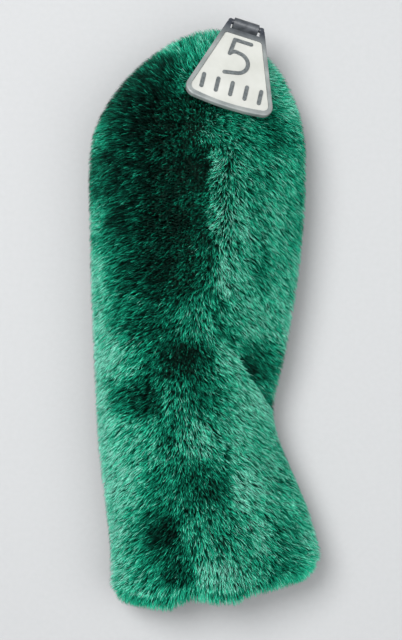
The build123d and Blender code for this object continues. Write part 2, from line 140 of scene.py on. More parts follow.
# The lie and the painted light and shade of the pile on the front, in rows of strokes from the crown to the
# hem. A row is at y in mm, and each of its strokes is x in mm, the heading in degrees from +X, the lean from
# upright in degrees, and the shade, from 0 dark to 1 light, painted on the fibres as the light and shade of
# the brushed nap, which makes most of the dark and bright patches.
GROOM = {
    151: [(-18, 120, 55, 0.55), (-8, 110, 40, 0.35), (0, 100, 50, 0.55), (25, 60, 50, 0.5)],
    141: [(-30, 130, 50, 0.18), (-20, 135, 35, 0.08), (-8, 120, 40, 0.35), (40, 330, 60, 0.7)],
    129: [(-42, 150, 45, 0.12), (-28, 180, 25, 0.07), (-20, 200, 22, 0.12), (-8, 250, 45, 0.5),
          (44, 322, 60, 0.6)],
    118: [(-54, 195, 50, 0.18), (-40, 220, 25, 0.05), (-28, 230, 20, 0.05), (-18, 240, 22, 0.1),
          (-8, 255, 30, 0.25), (48, 310, 62, 0.65)],
    103: [(-62, 205, 60, 0.42), (-50, 215, 30, 0.1), (-38, 225, 22, 0.05), (-25, 250, 18, 0.07),
          (-12, 262, 25, 0.18), (0, 290, 40, 0.5), (12, 300, 50, 0.38), (27, 300, 55, 0.42),
          (40, 300, 50, 0.25), (52, 300, 65, 0.45)],
    81: [(-62, 215, 60, 0.3), (-52, 225, 30, 0.07), (-40, 232, 25, 0.12), (-30, 245, 18, 0.06),
         (-18, 240, 20, 0.12), (-6, 230, 20, 0.08), (2, 215, 35, 0.15), (9, 205, 60, 0.65),
         (20, 300, 60, 0.55), (31, 298, 58, 0.42), (42, 295, 62, 0.5), (54, 290, 65, 0.5)],
    53: [(-63, 210, 70, 0.58), (-52, 225, 30, 0.1), (-42, 235, 22, 0.1), (-30, 245, 15, 0.05),
         (-19, 240, 15, 0.04), (-8, 225, 22, 0.15), (1, 205, 35, 0.2), (8, 205, 55, 0.7),
         (20, 298, 60, 0.62), (30, 294, 58, 0.45), (41, 290, 65, 0.62), (53, 288, 62, 0.45)],
    25: [(-63, 215, 72, 0.85), (-52, 222, 45, 0.28), (-42, 232, 25, 0.13), (-30, 240, 18, 0.1),
         (-19, 238, 20, 0.1), (-8, 228, 28, 0.2), (1, 215, 45, 0.35), (9, 285, 60, 0.7),
         (20, 297, 62, 0.65), (30, 292, 50, 0.36), (42, 288, 62, 0.52), (52, 286, 66, 0.6)],
    -3: [(-62, 225, 72, 0.92), (-52, 230, 50, 0.36), (-41, 232, 30, 0.22), (-30, 235, 25, 0.16),
         (-19, 238, 35, 0.28), (-9, 250, 45, 0.4), (0, 290, 55, 0.6), (9, 300, 50, 0.4),
         (19, 298, 60, 0.58), (30, 296, 64, 0.7), (42, 285, 62, 0.6), (50, 284, 66, 0.8)],
    -23: [(-61, 228, 75, 0.95), (-50, 232, 65, 0.75), (-41, 236, 50, 0.52), (-31, 245, 32, 0.3),
          (-21, 260, 22, 0.14), (-10, 275, 20, 0.1), (0, 295, 35, 0.25), (9, 310, 60, 0.65),
          (17, 312, 65, 0.75), (26, 300, 50, 0.4), (36, 290, 48, 0.36)],
    -45: [(-60, 228, 75, 0.9), (-50, 232, 42, 0.26), (-40, 240, 25, 0.14), (-30, 248, 22, 0.12),
          (-20, 262, 45, 0.5), (-10, 280, 40, 0.4), (0, 300, 35, 0.28), (10, 312, 45, 0.42),
          (20, 314, 62, 0.7), (30, 312, 66, 0.8)],
    -66: [(-58, 228, 75, 0.95), (-49, 232, 58, 0.65), (-39, 238, 48, 0.5), (-30, 245, 50, 0.55),
          (-20, 265, 35, 0.3), (-10, 288, 50, 0.66), (0, 300, 55, 0.68), (10, 310, 48, 0.5),
          (21, 312, 58, 0.65), (32, 310, 58, 0.6), (40, 308, 60, 0.6)],
    -93: [(-53, 225, 75, 0.92), (-43, 230, 62, 0.75), (-31, 240, 40, 0.38), (-20, 262, 35, 0.35),
          (-10, 285, 33, 0.3), (0, 300, 32, 0.28), (9, 310, 32, 0.28), (20, 312, 62, 0.95),
          (31, 311, 60, 0.7), (41, 308, 52, 0.52), (50, 305, 60, 0.6)],
    -121: [(-52, 215, 75, 0.9), (-42, 225, 52, 0.5), (-31, 240, 22, 0.12), (-21, 262, 22, 0.1),
           (-10, 290, 45, 0.42), (0, 300, 52, 0.52), (10, 304, 42, 0.4), (20, 306, 52, 0.55),
           (31, 306, 62, 0.75), (41, 304, 48, 0.45), (50, 302, 45, 0.4), (60, 300, 64, 0.75)],
    -143: [(-50, 215, 72, 0.85), (-40, 232, 50, 0.45), (-30, 248, 44, 0.38), (-20, 262, 24, 0.12),
           (-11, 272, 32, 0.26), (0, 282, 62, 0.75), (10, 285, 64, 0.88), (20, 285, 56, 0.62),
           (31, 286, 52, 0.52), (42, 288, 38, 0.3), (52, 290, 36, 0.28), (62, 292, 60, 0.7)],
    -158: [(-48, 240, 70, 0.9), (-38, 248, 62, 0.72), (-28, 258, 58, 0.62), (-19, 266, 50, 0.48),
           (-9, 272, 58, 0.66), (2, 275, 56, 0.6), (14, 275, 58, 0.62), (30, 277, 64, 0.95)],
}
# Bands of the cover from the mouth to the crown, which the pile is made in: a name, and its end's y in mm.
FRONT_BANDS = [
    ("hem", -128), ("skirt", -94), ("ankle", -60), ("throat", -26), ("belly", 8),
    ("chest", 42), ("shoulder", 76), ("head", 110), ("crown", 170),
]
BACK_BANDS = [("skirt", -90), ("throat", -10), ("head", 70), ("crown", 170)]
TAG_REACHES_DOWN_TO = 80    # y in mm, which bands that the tag lies on end past

# Turns round the cover run from 0 at the right seam over the front to 0.5 at the left seam, and on to 1.
FRONT_TURNS = np.linspace(0.002, 0.498, 120)
BACK_TURNS = np.linspace(0.502, 0.998, 120)
PANEL_TURNS = (("front", FRONT_TURNS), ("back", BACK_TURNS))


# ---------------------------------------------------------------- small helpers


def linear(hex_colour):
    """An sRGB hex colour as linear red, green, blue and alpha."""
    parts = [int(hex_colour[i:i + 2], 16) / 255 for i in (1, 3, 5)]
    return tuple(c / 12.92 if c <= 0.04045 else ((c + 0.055) / 1.055) ** 2.4 for c in parts) + (1.0,)


def ease(low, high, value):
    """0 under low, 1 over high and smooth between, for arrays."""
    share = np.clip((value - low) / (high - low), 0, 1)
    return share * share * (3 - 2 * share)


def unit(vectors):
    """Rows of vectors at length 1."""
    return vectors / np.maximum(np.linalg.norm(vectors, axis=-1, keepdims=True), 1e-12)


def ripple(points, wavelength, seed):
    """Smooth noise of about -1 to 1 at rows of points, from a few waves in seeded directions."""
    rng = np.random.default_rng(seed)
    total = np.zeros(len(points))
    for _ in range(7):
        way = rng.normal(size=points.shape[1])
        way *= 2 * math.pi / wavelength * rng.uniform(0.6, 1.5) / np.linalg.norm(way)
        total += np.sin(points @ way + rng.uniform(0, 2 * math.pi))
    return total / 3


def side_of_line(x, y, line):
    """For plan points: distance to a line of points, positive on its left, and the share along it."""
    best = np.full(len(x), 1e9)
    signed, along = np.zeros(len(x)), np.zeros(len(x))
    spans = [math.dist(a, b) for a, b in zip(line, line[1:])]
    whole, done = sum(spans), 0.0
    for (ax, ay), (bx, by), span in zip(line, line[1:], spans):
        ux, uy = (bx - ax) / span, (by - ay) / span
        t = np.clip((x - ax) * ux + (y - ay) * uy, 0, span)
        dx, dy = x - ax - t * ux, y - ay - t * uy
        away = np.hypot(dx, dy)
        near = away < best
        best = np.where(near, away, best)
        signed = np.where(near, np.sign(ux * dy - uy * dx) * away, signed)
        along = np.where(near, (done + t) / whole, along)
        done += span
    return signed, along


def finish_piece(piece, body, slot, material, *replaced):
    """Gives a piece its material, its body and the CAD nodes that it stands for; its slot is not used."""
    piece.data.materials.clear()
    piece.data.materials.append(material)
    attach(piece, body)
    if replaced:
        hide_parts(*replaced)
    return piece


def mesh_piece(name, points, quads, triangles=None):
    """A smooth-shaded mesh object from points, four-cornered faces and three-cornered faces."""
    mesh = bpy.data.meshes.new(name)
    faces = [np.asarray(f, dtype=np.int32).ravel() for f in (quads, triangles) if f is not None]
    sizes = [np.full(len(f), n, dtype=np.int32) for f, n in ((quads, 4), (triangles, 3)) if f is not None]
    corners, sizes = np.concatenate(faces), np.concatenate(sizes)
    mesh.vertices.add(len(points))
    mesh.vertices.foreach_set("co", np.asarray(points, dtype=np.float32).ravel())
    mesh.loops.add(len(corners))
    mesh.loops.foreach_set("vertex_index", corners)
    mesh.polygons.add(len(sizes))
    mesh.polygons.foreach_set("loop_start", np.concatenate([[0], np.cumsum(sizes)[:-1]]).astype(np.int32))
    mesh.polygons.foreach_set("use_smooth", np.ones(len(sizes), dtype=bool))
    mesh.update(calc_edges=True)
    piece = bpy.data.objects.new(name, mesh)
    bpy.context.collection.objects.link(piece)
    return piece


# ---------------------------------------------------------------- the form of the sock


class CoverForm:
    """The sock's outer form, as points round a spine, and the way in from it to every layer."""

    def __init__(self, rows_body=120, rows_dome=30, columns=160):
        panels = [frame["nodes"][name].data for name in ("front_pile_panel", "back_pile_panel")]
        points, faces = [], []
        for mesh in panels:
            start = len(points)
            points += [v.co.copy() for v in mesh.vertices]
            faces += [[start + i for i in p.vertices] for p in mesh.polygons]
        tree = BVHTree.FromPolygons(points, faces)
        tip = max(points, key=lambda p: p.y)
        self.base_y = tip.y - CROWN_ROUND
        start_y = MOUTH_MIDDLE[1] + 0.4 * MM
        body = np.linspace(start_y, self.base_y, rows_body, endpoint=False)
        turns = np.radians(np.linspace(0, 87, rows_dome))
        stations = np.concatenate([body, self.base_y + CROWN_ROUND * np.sin(turns)])
        self.step = body[1] - body[0]
        self.last = len(stations)
        angles = np.arange(columns) / columns * 2 * math.pi
        up = Vector((0, 0, 1))

        def reach(middle, way):
            """How far the outer surface is from a point inside, along a way out."""
            return 0.3 - tree.ray_cast(middle + way * 0.3, -way)[3]

        spine, across, rings = [], [], []
        for y in stations:
            turn = MOUTH_TURN * float(1 - ease(start_y, THROAT_Y, y))
            side = Vector((math.cos(turn), math.sin(turn), 0))
            middle = Vector((tip.x, y, SEAM_Z)) + side * (MOUTH_MIDDLE[0] - tip.x)
            right, left = reach(middle, side), reach(middle, -side)
            middle += side * (right - left) / 2
            half = (right + left) / 2
            aside = middle - side * half * 0.3
            size = np.array([half, reach(aside, up), reach(aside, -up)])
            if y < self.base_y + 1e-6:
                tall, ring = reach(middle, up), []
                for angle in angles:
                    way = (side * half * math.cos(angle) + up * tall * math.sin(angle)).normalized()
                    out = reach(middle, way)
                    ring.append((out * way.dot(side), out * way.z))
                base_size, base_ring = size, np.array(ring)
            # The crown is the ring at its foot drawn in, which also passes over the cut for the strap.
            wide, front, back = size / base_size
            tall = np.where(base_ring[:, 1] > 0, front, back)
            spine.append(tuple(middle))
            across.append(tuple(side))
            rings.append(np.stack([base_ring[:, 0] * wide, base_ring[:, 1] * tall], axis=1))
        self.spine = np.array(spine + [(tip.x, tip.y, SEAM_Z)])
        self.across = np.array(across + [(1, 0, 0)])
        self.ring = np.array(rings + [np.zeros((columns, 2))])
        self.columns = columns
        foot = rows_body
        half, front = self.ring.max(1).T
        back = -self.ring[:, :, 1].min(1)
        dome = np.arange(self.last + 1) >= foot
        self.half, self.front, self.back = (np.where(dome, a[foot], a) for a in (half, front, back))
        self.base = self.spine[foot]

    def at(self, row, turn, inset):
        """Points at rows along the cover, turns round it (0 right seam, 0.25 front) and insets, as arrays."""
        row, turn, inset = np.broadcast_arrays(*(np.asarray(a, float) for a in (row, turn, inset)))
        shape = row.shape
        row, turn, inset = row.ravel(), turn.ravel() % 1.0, inset.ravel()
        i = np.clip(np.floor(row).astype(int), 0, self.last - 1)
        f = (row - i)[:, None]
        column = turn * self.columns
        j = np.floor(column).astype(int) % self.columns
        g = (column - np.floor(column))[:, None]
        k = (j + 1) % self.columns
        flat = (self.ring[i, j] * (1 - g) + self.ring[i, k] * g) * (1 - f)
        flat += (self.ring[i + 1, j] * (1 - g) + self.ring[i + 1, k] * g) * f

        def along(values):
            return values[i] + (values[i + 1] - values[i]) * (f if values.ndim > 1 else f[:, 0])

        spine, across = along(self.spine), unit(along(self.across))
        wide = 1 - inset / along(self.half)
        depth = np.where(flat[:, 1] >= 0, along(self.front), along(self.back))
        tall = 1 - inset / depth
        in_dome = ease(self.base_y - 1 * MM, self.base_y + 1 * MM, spine[:, 1])
        centre_x = spine[:, 0] + (self.base[0] - spine[:, 0]) * (inset / along(self.half)) * in_dome
        y = spine[:, 1] - np.maximum(spine[:, 1] - self.base_y, 0) * inset / CROWN_ROUND
        points = np.stack([centre_x, y, spine[:, 2]], axis=1)
        points += across * (flat[:, :1] * wide[:, None])
        points[:, 2] += flat[:, 1] * tall
        frontness = ease(0.05, 0.75, flat[:, 1] / np.maximum(along(self.front), 1e-6))
        points += self.sculpt(points, frontness, row)
        return points.reshape(shape + (3,))

    def sculpt(self, points, frontness, row):
        """The folds that the cloth took: the crease to the throat, the parting's ridge and the hem's dips."""
        x, y = points[:, 0] / MM, points[:, 1] / MM
        crease, along = side_of_line(x, y, CREASE)
        deep = 2.0 + 11.0 * ease(0.0, 0.8, along)
        behind = 1 / (1 + np.exp(np.clip(-crease / 0.9, -50, 50)))
        lift = -deep * behind * np.exp(-np.maximum(crease, 0) / 20)
        lift += 0.3 * deep * (1 - behind) * np.exp(-np.maximum(-crease, 0) / 10)
        parting, _ = side_of_line(x, y, PARTING)
        fade = ease(118, 96, y) * ease(-6, 12, y)
        lift += 1.8 * np.tanh(parting / 3.5) * np.exp(-np.abs(parting) / 20) * fade
        middle = np.exp(-(((x + 16 - 0.05 * (y + 120)) / 14) ** 2)) * ease(-60, -95, y)
        lift -= 2.0 * middle
        lumps = ripple(points / MM, 46.0, 5) * 0.8 + ripple(points / MM, 21.0, 6) * 0.35
        moved = np.zeros_like(points)
        moved[:, 2] = (lift + lumps) * frontness * MM
        table = np.array(HEM_DIPS)
        dip = np.interp(x, table[:, 0], table[:, 1])
        near_mouth = ease(34 * MM, 0.0, row * self.step)
        moved += MOUTH_OUT * (dip * near_mouth * (0.45 + 0.55 * frontness) * MM)[:, None]
        return moved

    def row_at(self, depth):
        """The row at a depth into the cover from its mouth, in metres."""
        return np.asarray(depth) / self.step

    def row_at_y(self, y):
        """The row at a place y along the cover."""
        return np.interp(y, self.spine[:, 1], np.arange(self.last + 1))


# ---------------------------------------------------------------- materials


def add(tree, kind, inputs=None, **settings):
    """Adds one node, sets it up, and gives its inputs either a constant or another node's output."""
    node = tree.nodes.new(kind)
    for name, value in settings.items():
        setattr(node, name, value)
    for key, value in (inputs or {}).items():
        if isinstance(value, bpy.types.NodeSocket):
            tree.links.new(value, node.inputs[key])
        else:
            node.inputs[key].default_value = value
    return node


def principled(name, **values):
    """A new material with its tree and shader, and these constants on the shader's own sockets."""
    material = bpy.data.materials.new(name)
    material.use_nodes = True
    shader = material.node_tree.nodes["Principled BSDF"]
    for key, value in values.items():
        shader.inputs[key.replace("_", " ")].default_value = value
    return material, material.node_tree, shader


def ramp(tree, factor, *stops):
    """A colour ramp over a factor, from (place, hex colour) stops."""
    node = add(tree, "ShaderNodeValToRGB", {"Fac": factor})
    elements = node.color_ramp.elements
    while len(elements) < len(stops):
        elements.new(0.5)
    for element, (place, colour) in zip(elements, stops):
        element.position, element.color = place, linear(colour)
    return node.outputs["Color"]


def bump(tree, shader, height, strength, distance):
    """Feeds a height pattern to the shader as a bump of this real depth in metres."""
    node = add(tree, "ShaderNodeBump", {"Height": height, "Strength": strength, "Distance": distance})
    tree.links.new(node.outputs["Normal"], shader.inputs["Normal"])


def band_scale(spacing):
    """The wave texture's scale. Bands across x then stand 1.97 spacings apart, and diagonal ones further."""
    return 1 / spacing / 6.283


def acrylic_pile():
    """Acrylic fibre, dyed emerald, knitted as pile and sheared: painted dark at its roots as the shade deep
    in the pile, and silky at its tips.
    """
    material, tree, shader = principled("acrylic_pile_sheared", Roughness=0.5, Specular_IOR_Level=0.07)
    # How light each fibre is carries its own tone and painted light and shade: the nap's dark and bright
    # patches, the crease's painted shadow, the parting's painted light and painted glints.
    light = add(tree, "ShaderNodeAttribute", attribute_name="lightness").outputs["Fac"]
    reach = add(tree, "ShaderNodeAttribute", attribute_name="reach").outputs["Fac"]
    tips = ramp(
        tree, light,
        (0.0, "#02130f"), (0.2, "#063d31"), (0.5, "#14a882"), (0.8, "#40f0c2"), (1.0, "#a2ffe6"),
    )
    # Painted shade: the roots' colours, dark however light the fibre is, blended into the tips along each
    # fibre, stand for the shade deep inside the pile.
    roots = ramp(tree, light, (0.0, "#000705"), (0.5, "#02281e"), (1.0, "#07684c"))
    share = ramp(tree, reach, (0.4, "#000000"), (0.9, "#ffffff"))
    mixed = add(tree, "ShaderNodeMix", {0: share, 6: roots, 7: tips}, data_type="RGBA")
    tree.links.new(mixed.outputs[2], shader.inputs["Base Color"])
    return material


def knit_ground():
    """Polyester ground of the pile fabric, warp-knitted: a dull cloth with fine wales, dyed dark and darkened
    further as painted shade deep in the pile.
    """
    material, tree, shader = principled("polyester_warp_knit", Roughness=0.9, Specular_IOR_Level=0.2)
    place = add(tree, "ShaderNodeTexCoord").outputs["Object"]
    wales = add(
        tree, "ShaderNodeTexWave", {"Vector": place, "Scale": band_scale(1.1 * MM), "Distortion": 1.5},
        wave_type="BANDS", bands_direction="X",
    ).outputs["Fac"]
    # Partly painted shade: the ground's green is darkened so that the gaps between the fibres read as the
    # shade deep in the pile.
    colour = ramp(tree, wales, (0.0, "#03150f"), (1.0, "#0a3527"))
    tree.links.new(colour, shader.inputs["Base Color"])
    bump(tree, shader, wales, 0.5, 0.2 * MM)
    return material


def brushed_lining():
    """Polyester tricot, undyed and brushed: a soft dull lining whose short nap shows as a fine mottle."""
    material, tree, shader = principled("brushed_tricot", Roughness=0.95, Specular_IOR_Level=0.2)
    shader.inputs["Sheen Weight"].default_value = 0.3
    place = add(tree, "ShaderNodeTexCoord").outputs["Object"]
    nap = add(tree, "ShaderNodeTexNoise", {"Vector": place, "Scale": 1 / (1.4 * MM), "Detail": 4.0})
    colour = ramp(tree, nap.outputs["Fac"], (0.3, "#a9a798"), (0.7, "#d6d4c8"))
    tree.links.new(colour, shader.inputs["Base Color"])
    bump(tree, shader, nap.outputs["Fac"], 0.6, 0.3 * MM)
    return material


def open_cell_foam():
    """Polyurethane foam, sliced from block: off-white, with open cells that pit its surface, their hollows
    painted darker as shade.
    """
    material, tree, shader = principled("polyurethane_foam_sliced", Roughness=0.95, Specular_IOR_Level=0.2)
    place = add(tree, "ShaderNodeTexCoord").outputs["Object"]
    cells = add(tree, "ShaderNodeTexVoronoi", {"Vector": place, "Scale": 1 / (0.8 * MM)}).outputs["Distance"]
    # Painted shade: the colour darkens towards the middle of each cell, where the bump sinks into a pit.
    colour = ramp(tree, cells, (0.0, "#a49c82"), (0.6, "#e6e0cc"))
    tree.links.new(colour, shader.inputs["Base Color"])
    bump(tree, shader, cells, 0.7, 0.3 * MM)
    return material


def woven_band(name, dark, light, rib):
    """A narrow woven band, with ribs across its length at the spacing given."""
    material, tree, shader = principled(name, Roughness=0.8, Specular_IOR_Level=0.3)
    place = add(tree, "ShaderNodeTexCoord").outputs["Object"]
    ribs = add(
        tree, "ShaderNodeTexWave", {"Vector": place, "Scale": band_scale(rib), "Distortion": 0.6},
        wave_type="BANDS", bands_direction="DIAGONAL",
    ).outputs["Fac"]
    tree.links.new(ramp(tree, ribs, (0.1, dark), (0.9, light)), shader.inputs["Base Color"])
    bump(tree, shader, ribs, 0.6, 0.25 * MM)
    return material


def spun_thread():
    """Polyester sewing thread, spun and dyed to match: a twisted strand with a faint sheen."""
    return woven_band("polyester_thread_spun", "#04241a", "#0f5a42", 0.5 * MM)


def smoky_vinyl():
    """Clear PVC with a smoky tint, injection moulded: glossy and cloudy, and darkest round the hinge bar,
    partly its tint and partly painted shade from the bar and the strap.
    """
    material, tree, shader = principled(
        "smoky_pvc_moulded", Roughness=0.2, IOR=1.53, Transmission_Weight=0.35, Specular_IOR_Level=0.5
    )
    place = add(tree, "ShaderNodeTexCoord").outputs["Object"]
    up = tag_axes()[1]
    # Partly painted shade: the frame's colour darkens towards the hinge bar, standing for the shade that the
    # bar and the strap cast, on top of the smoky tint.
    down = add(tree, "ShaderNodeVectorMath", {0: place, 1: tuple(-up)}, operation="DOT_PRODUCT")
    start = float(-(BAR @ up))
    span = {0: down.outputs["Value"], 1: start + 3 * MM, 2: start + 17 * MM}
    below = add(tree, "ShaderNodeMapRange", span).outputs["Result"]
    cloud = add(tree, "ShaderNodeTexNoise", {"Vector": place, "Scale": 1 / (9 * MM), "Detail": 3.0})
    dark = ramp(tree, cloud.outputs["Fac"], (0.3, "#30343b"), (0.7, "#4d525a"))
    pale = ramp(tree, cloud.outputs["Fac"], (0.3, "#7f8585"), (0.7, "#a3a8a6"))
    mixed = add(tree, "ShaderNodeMix", {0: below, 6: dark, 7: pale}, data_type="RGBA")
    tree.links.new(mixed.outputs[2], shader.inputs["Base Color"])
    grain = add(tree, "ShaderNodeTexNoise", {"Vector": place, "Scale": 1 / (0.6 * MM), "Detail": 2.0})
    bump(tree, shader, grain.outputs["Fac"], 0.15, 0.05 * MM)
    return material


def strap_vinyl():
    """Clear PVC strap with a dark smoky tint, calendered: glossy and limp, with fine scuffs."""
    material, tree, shader = principled(
        "smoky_pvc_calendered", Roughness=0.3, IOR=1.53, Transmission_Weight=0.35, Specular_IOR_Level=0.5
    )
    place = add(tree, "ShaderNodeTexCoord").outputs["Object"]
    cloud = add(tree, "ShaderNodeTexNoise", {"Vector": place, "Scale": 1 / (5 * MM), "Detail": 4.0})
    colour = ramp(tree, cloud.outputs["Fac"], (0.3, "#3a3e43"), (0.7, "#666a6f"))
    tree.links.new(colour, shader.inputs["Base Color"])
    bump(tree, shader, cloud.outputs["Fac"], 0.2, 0.1 * MM)
    return material


def cream_vinyl():
    """Cream PVC plate, injection moulded in a satin tool: warm white, faintly uneven in tone."""
    material, tree, shader = principled("cream_pvc_moulded", Roughness=0.45, IOR=1.53, Specular_IOR_Level=0.5)
    shader.inputs["Coat Weight"].default_value = 0.25
    shader.inputs["Coat Roughness"].default_value = 0.2
    place = add(tree, "ShaderNodeTexCoord").outputs["Object"]
    cloud = add(tree, "ShaderNodeTexNoise", {"Vector": place, "Scale": 1 / (14 * MM), "Detail": 3.0})
    colour = ramp(tree, cloud.outputs["Fac"], (0.3, "#a8a9a3"), (0.7, "#b5b6b1"))
    tree.links.new(colour, shader.inputs["Base Color"])
    grain = add(tree, "ShaderNodeTexNoise", {"Vector": place, "Scale": 1 / (0.5 * MM), "Detail": 2.0})
    bump(tree, shader, grain.outputs["Fac"], 0.12, 0.04 * MM)
    return material


def grey_vinyl():
    """Grey PVC figures, moulded and set into the plate: satin, and a little worn at the top."""
    material, tree, shader = principled("grey_pvc_inlay", Roughness=0.5, IOR=1.53, Specular_IOR_Level=0.4)
    place = add(tree, "ShaderNodeTexCoord").outputs["Object"]
    wear = add(tree, "ShaderNodeTexNoise", {"Vector": place, "Scale": 1 / (1.6 * MM), "Detail": 4.0})
    colour = ramp(tree, wear.outputs["Fac"], (0.35, "#484d4f"), (0.7, "#666b6b"))
    tree.links.new(colour, shader.inputs["Base Color"])
    bump(tree, shader, wear.outputs["Fac"], 0.2, 0.05 * MM)
    return material


def studio_paper():
    """Matt seamless paper, rolled: a pale even sweep with the faintest tooth."""
    material, tree, shader = principled("seamless_paper_rolled", Roughness=0.95, Specular_IOR_Level=0.1)
    place = add(tree, "ShaderNodeTexCoord").outputs["Object"]
    tooth = add(tree, "ShaderNodeTexNoise", {"Vector": place, "Scale": 1 / (3 * MM), "Detail": 2.0})
    colour = ramp(tree, tooth.outputs["Fac"], (0.2, "#a5a6a7"), (0.8, "#a8a9aa"))
    tree.links.new(colour, shader.inputs["Base Color"])
    return material


# ---------------------------------------------------------------- sewn layers


def gathers(rows, turns, slack):
    """How far loose cloth stands in at rows and turns: gathered by the elastic, and rumpled elsewhere."""
    form = cover_form()
    from_throat = (np.interp(rows, np.arange(form.last + 1), form.spine[:, 1]) - THROAT_Y) / (24 * MM)
    grid = np.stack(np.broadcast_arrays(rows * 0.5, turns * 90), axis=-1)
    rumple = ripple(grid.reshape(-1, 2), 14.0, 41).reshape(grid.shape[:2])
    folds = np.sin(2 * math.pi * 24 * turns + 1.2 * rumple)
    pulled = np.exp(-from_throat ** 2)
    free = ease(27 * MM, 40 * MM, rows * form.step) * np.minimum(np.abs(np.sin(2 * math.pi * turns)) * 4, 1)
    return slack * free * (0.5 + 0.5 * (folds * pulled + rumple * 0.8 * (1 - pulled)))


def wrapped_solid(name, outer_path, inner_path, turns, slack=0.0):
    """A closed solid between two paths of (row, inset), carried round the cover over the turns."""
    form = cover_form()
    sides = []
    for path in (outer_path, inner_path):
        rows, insets = np.array(path).T
        loose = gathers(rows[:, None], turns[None, :], slack) if slack else 0.0
        sides.append(form.at(rows[:, None], turns[None, :], insets[:, None] + loose))
    n, m = sides[0].shape[:2]
    points = np.concatenate([s.reshape(-1, 3) for s in sides])
    index = np.arange(2 * n * m).reshape(2, n, m)
    whole_ring = abs((turns[-1] - turns[0]) - 1.0) < 1e-9
    quads = []

    def strip(a, b, c, d):
        quads.append(np.stack([a.ravel(), b.ravel(), c.ravel(), d.ravel()], axis=1))

    out, inn = index
    strip(out[:-1, :-1], out[:-1, 1:], out[1:, 1:], out[1:, :-1])
    strip(inn[:-1, 1:], inn[:-1, :-1], inn[1:, :-1], inn[1:, 1:])
    for edge, flip in ((0, False), (-1, True)):
        a, b, c, d = out[edge, 1:], out[edge, :-1], inn[edge, :-1], inn[edge, 1:]
        strip(*((d, c, b, a) if flip else (a, b, c, d)))
    if whole_ring:
        last, first = index[:, :, -1].ravel(), index[:, :, 0].ravel()
        swap = np.arange(2 * n * m)
        swap[last] = first
        quads = [swap[q] for q in quads]
    else:
        for edge, flip in ((0, True), (-1, False)):
            a, b, c, d = out[1:, edge], out[:-1, edge], inn[:-1, edge], inn[1:, edge]
            strip(*((d, c, b, a) if flip else (a, b, c, d)))
    quads = np.concatenate(quads)
    used, back = np.unique(quads, return_inverse=True)
    return mesh_piece(name, points[used], back.reshape(quads.shape))


_form = []


def cover_form():
    """The one form that every piece is placed on."""
    if not _form:
        _form.append(CoverForm())
    return _form[0]


def ground_paths():
    """The ground cloth's two faces: down from the crown, round the hem's fold and up inside the mouth."""
    form = cover_form()
    rows = np.linspace(form.last - 0.4, form.row_at(12 * MM), 150)
    outer = [(row, GROUND[0]) for row in rows]
    inner = [(row, GROUND[1]) for row in rows]
    middle, reach = (GROUND[0] + HEM_TURN[1]) / 2, (HEM_TURN[1] - GROUND[0]) / 2
    thick = GROUND[1] - GROUND[0]
    for angle in np.radians(np.linspace(0, 180, 13)):
        for path, radius in ((outer, reach), (inner, reach - thick)):
            depth = FOLD_DEPTH - radius * math.sin(angle)
            path.append((form.row_at(depth), middle - radius * math.cos(angle)))
    for depth in np.linspace(10, 24, 8) * MM:
        outer.append((form.row_at(depth), HEM_TURN[1]))
        inner.append((form.row_at(depth), HEM_TURN[1] - thick))
    return outer, inner


def layer_paths(layer, low, high, count=120):
    """A plain layer's two faces between two rows."""
    rows = np.linspace(high, low, count)
    return [(row, layer[0]) for row in rows], [(row, layer[1]) for row in rows]


def joined(name, pieces):
    """One object from several mesh pieces."""
    first = pieces[0]
    with bpy.context.temp_override(active_object=first, selected_editable_objects=pieces):
        bpy.ops.object.join()
    first.name = first.data.name = name
    return first


# ---------------------------------------------------------------- the pile


def groom_at(x, y):
    """The heading, lean and painted shade of the pile at plan points in mm, blended from the strokes near
    them.
    """
    strokes = np.array([(sx, sy, *rest) for sy, row in GROOM.items() for sx, *rest in row])
    heading = np.radians(strokes[:, 2])
    values = np.stack([np.cos(heading), np.sin(heading), np.radians(strokes[:, 3]), strokes[:, 4]], axis=1)
    square = (x[:, None] - strokes[None, :, 0]) ** 2 + (y[:, None] - strokes[None, :, 1]) ** 2
    weight = 1 / (square + 14.0) ** 2.0
    blended = (weight @ values) / weight.sum(1, keepdims=True)
    return np.arctan2(blended[:, 1], blended[:, 0]), blended[:, 2], blended[:, 3]


def scatter(density, turns, rng, low_row, high_row):
    """Seeded roots over part of the cover, as rows and turns, with this many to the square millimetre."""
    form = cover_form()
    grid_rows = np.linspace(low_row, high_row, 160)
    grid_turns = np.linspace(turns[0], turns[1], 100)
    points = form.at(grid_rows[:, None], grid_turns[None, :], 0.0) / MM
    a = points[1:, :-1] - points[:-1, :-1]
    b = points[:-1, 1:] - points[:-1, :-1]
    area = np.linalg.norm(np.cross(a, b), axis=2).ravel()
    count = int(area.sum() * density)
    cell = np.searchsorted(np.cumsum(area) / area.sum(), rng.random(count))
    i, j = np.unravel_index(np.minimum(cell, len(area) - 1), (len(grid_rows) - 1, len(grid_turns) - 1))
    rows = grid_rows[i] + rng.random(count) * (grid_rows[1] - grid_rows[0])
    return rows, grid_turns[j] + rng.random(count) * (grid_turns[1] - grid_turns[0])


def tag_axes():
    """The tag's own axes: to its right, up to its bar and out of its face."""
    low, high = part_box("tag_face_plate")
    middle = (np.array(low) + np.array(high)) / 2
    up = BAR - middle
    right = TAG_RIGHT / np.linalg.norm(TAG_RIGHT)
    up = unit(up - right * (up @ right))
    return right, up, np.cross(right, up)


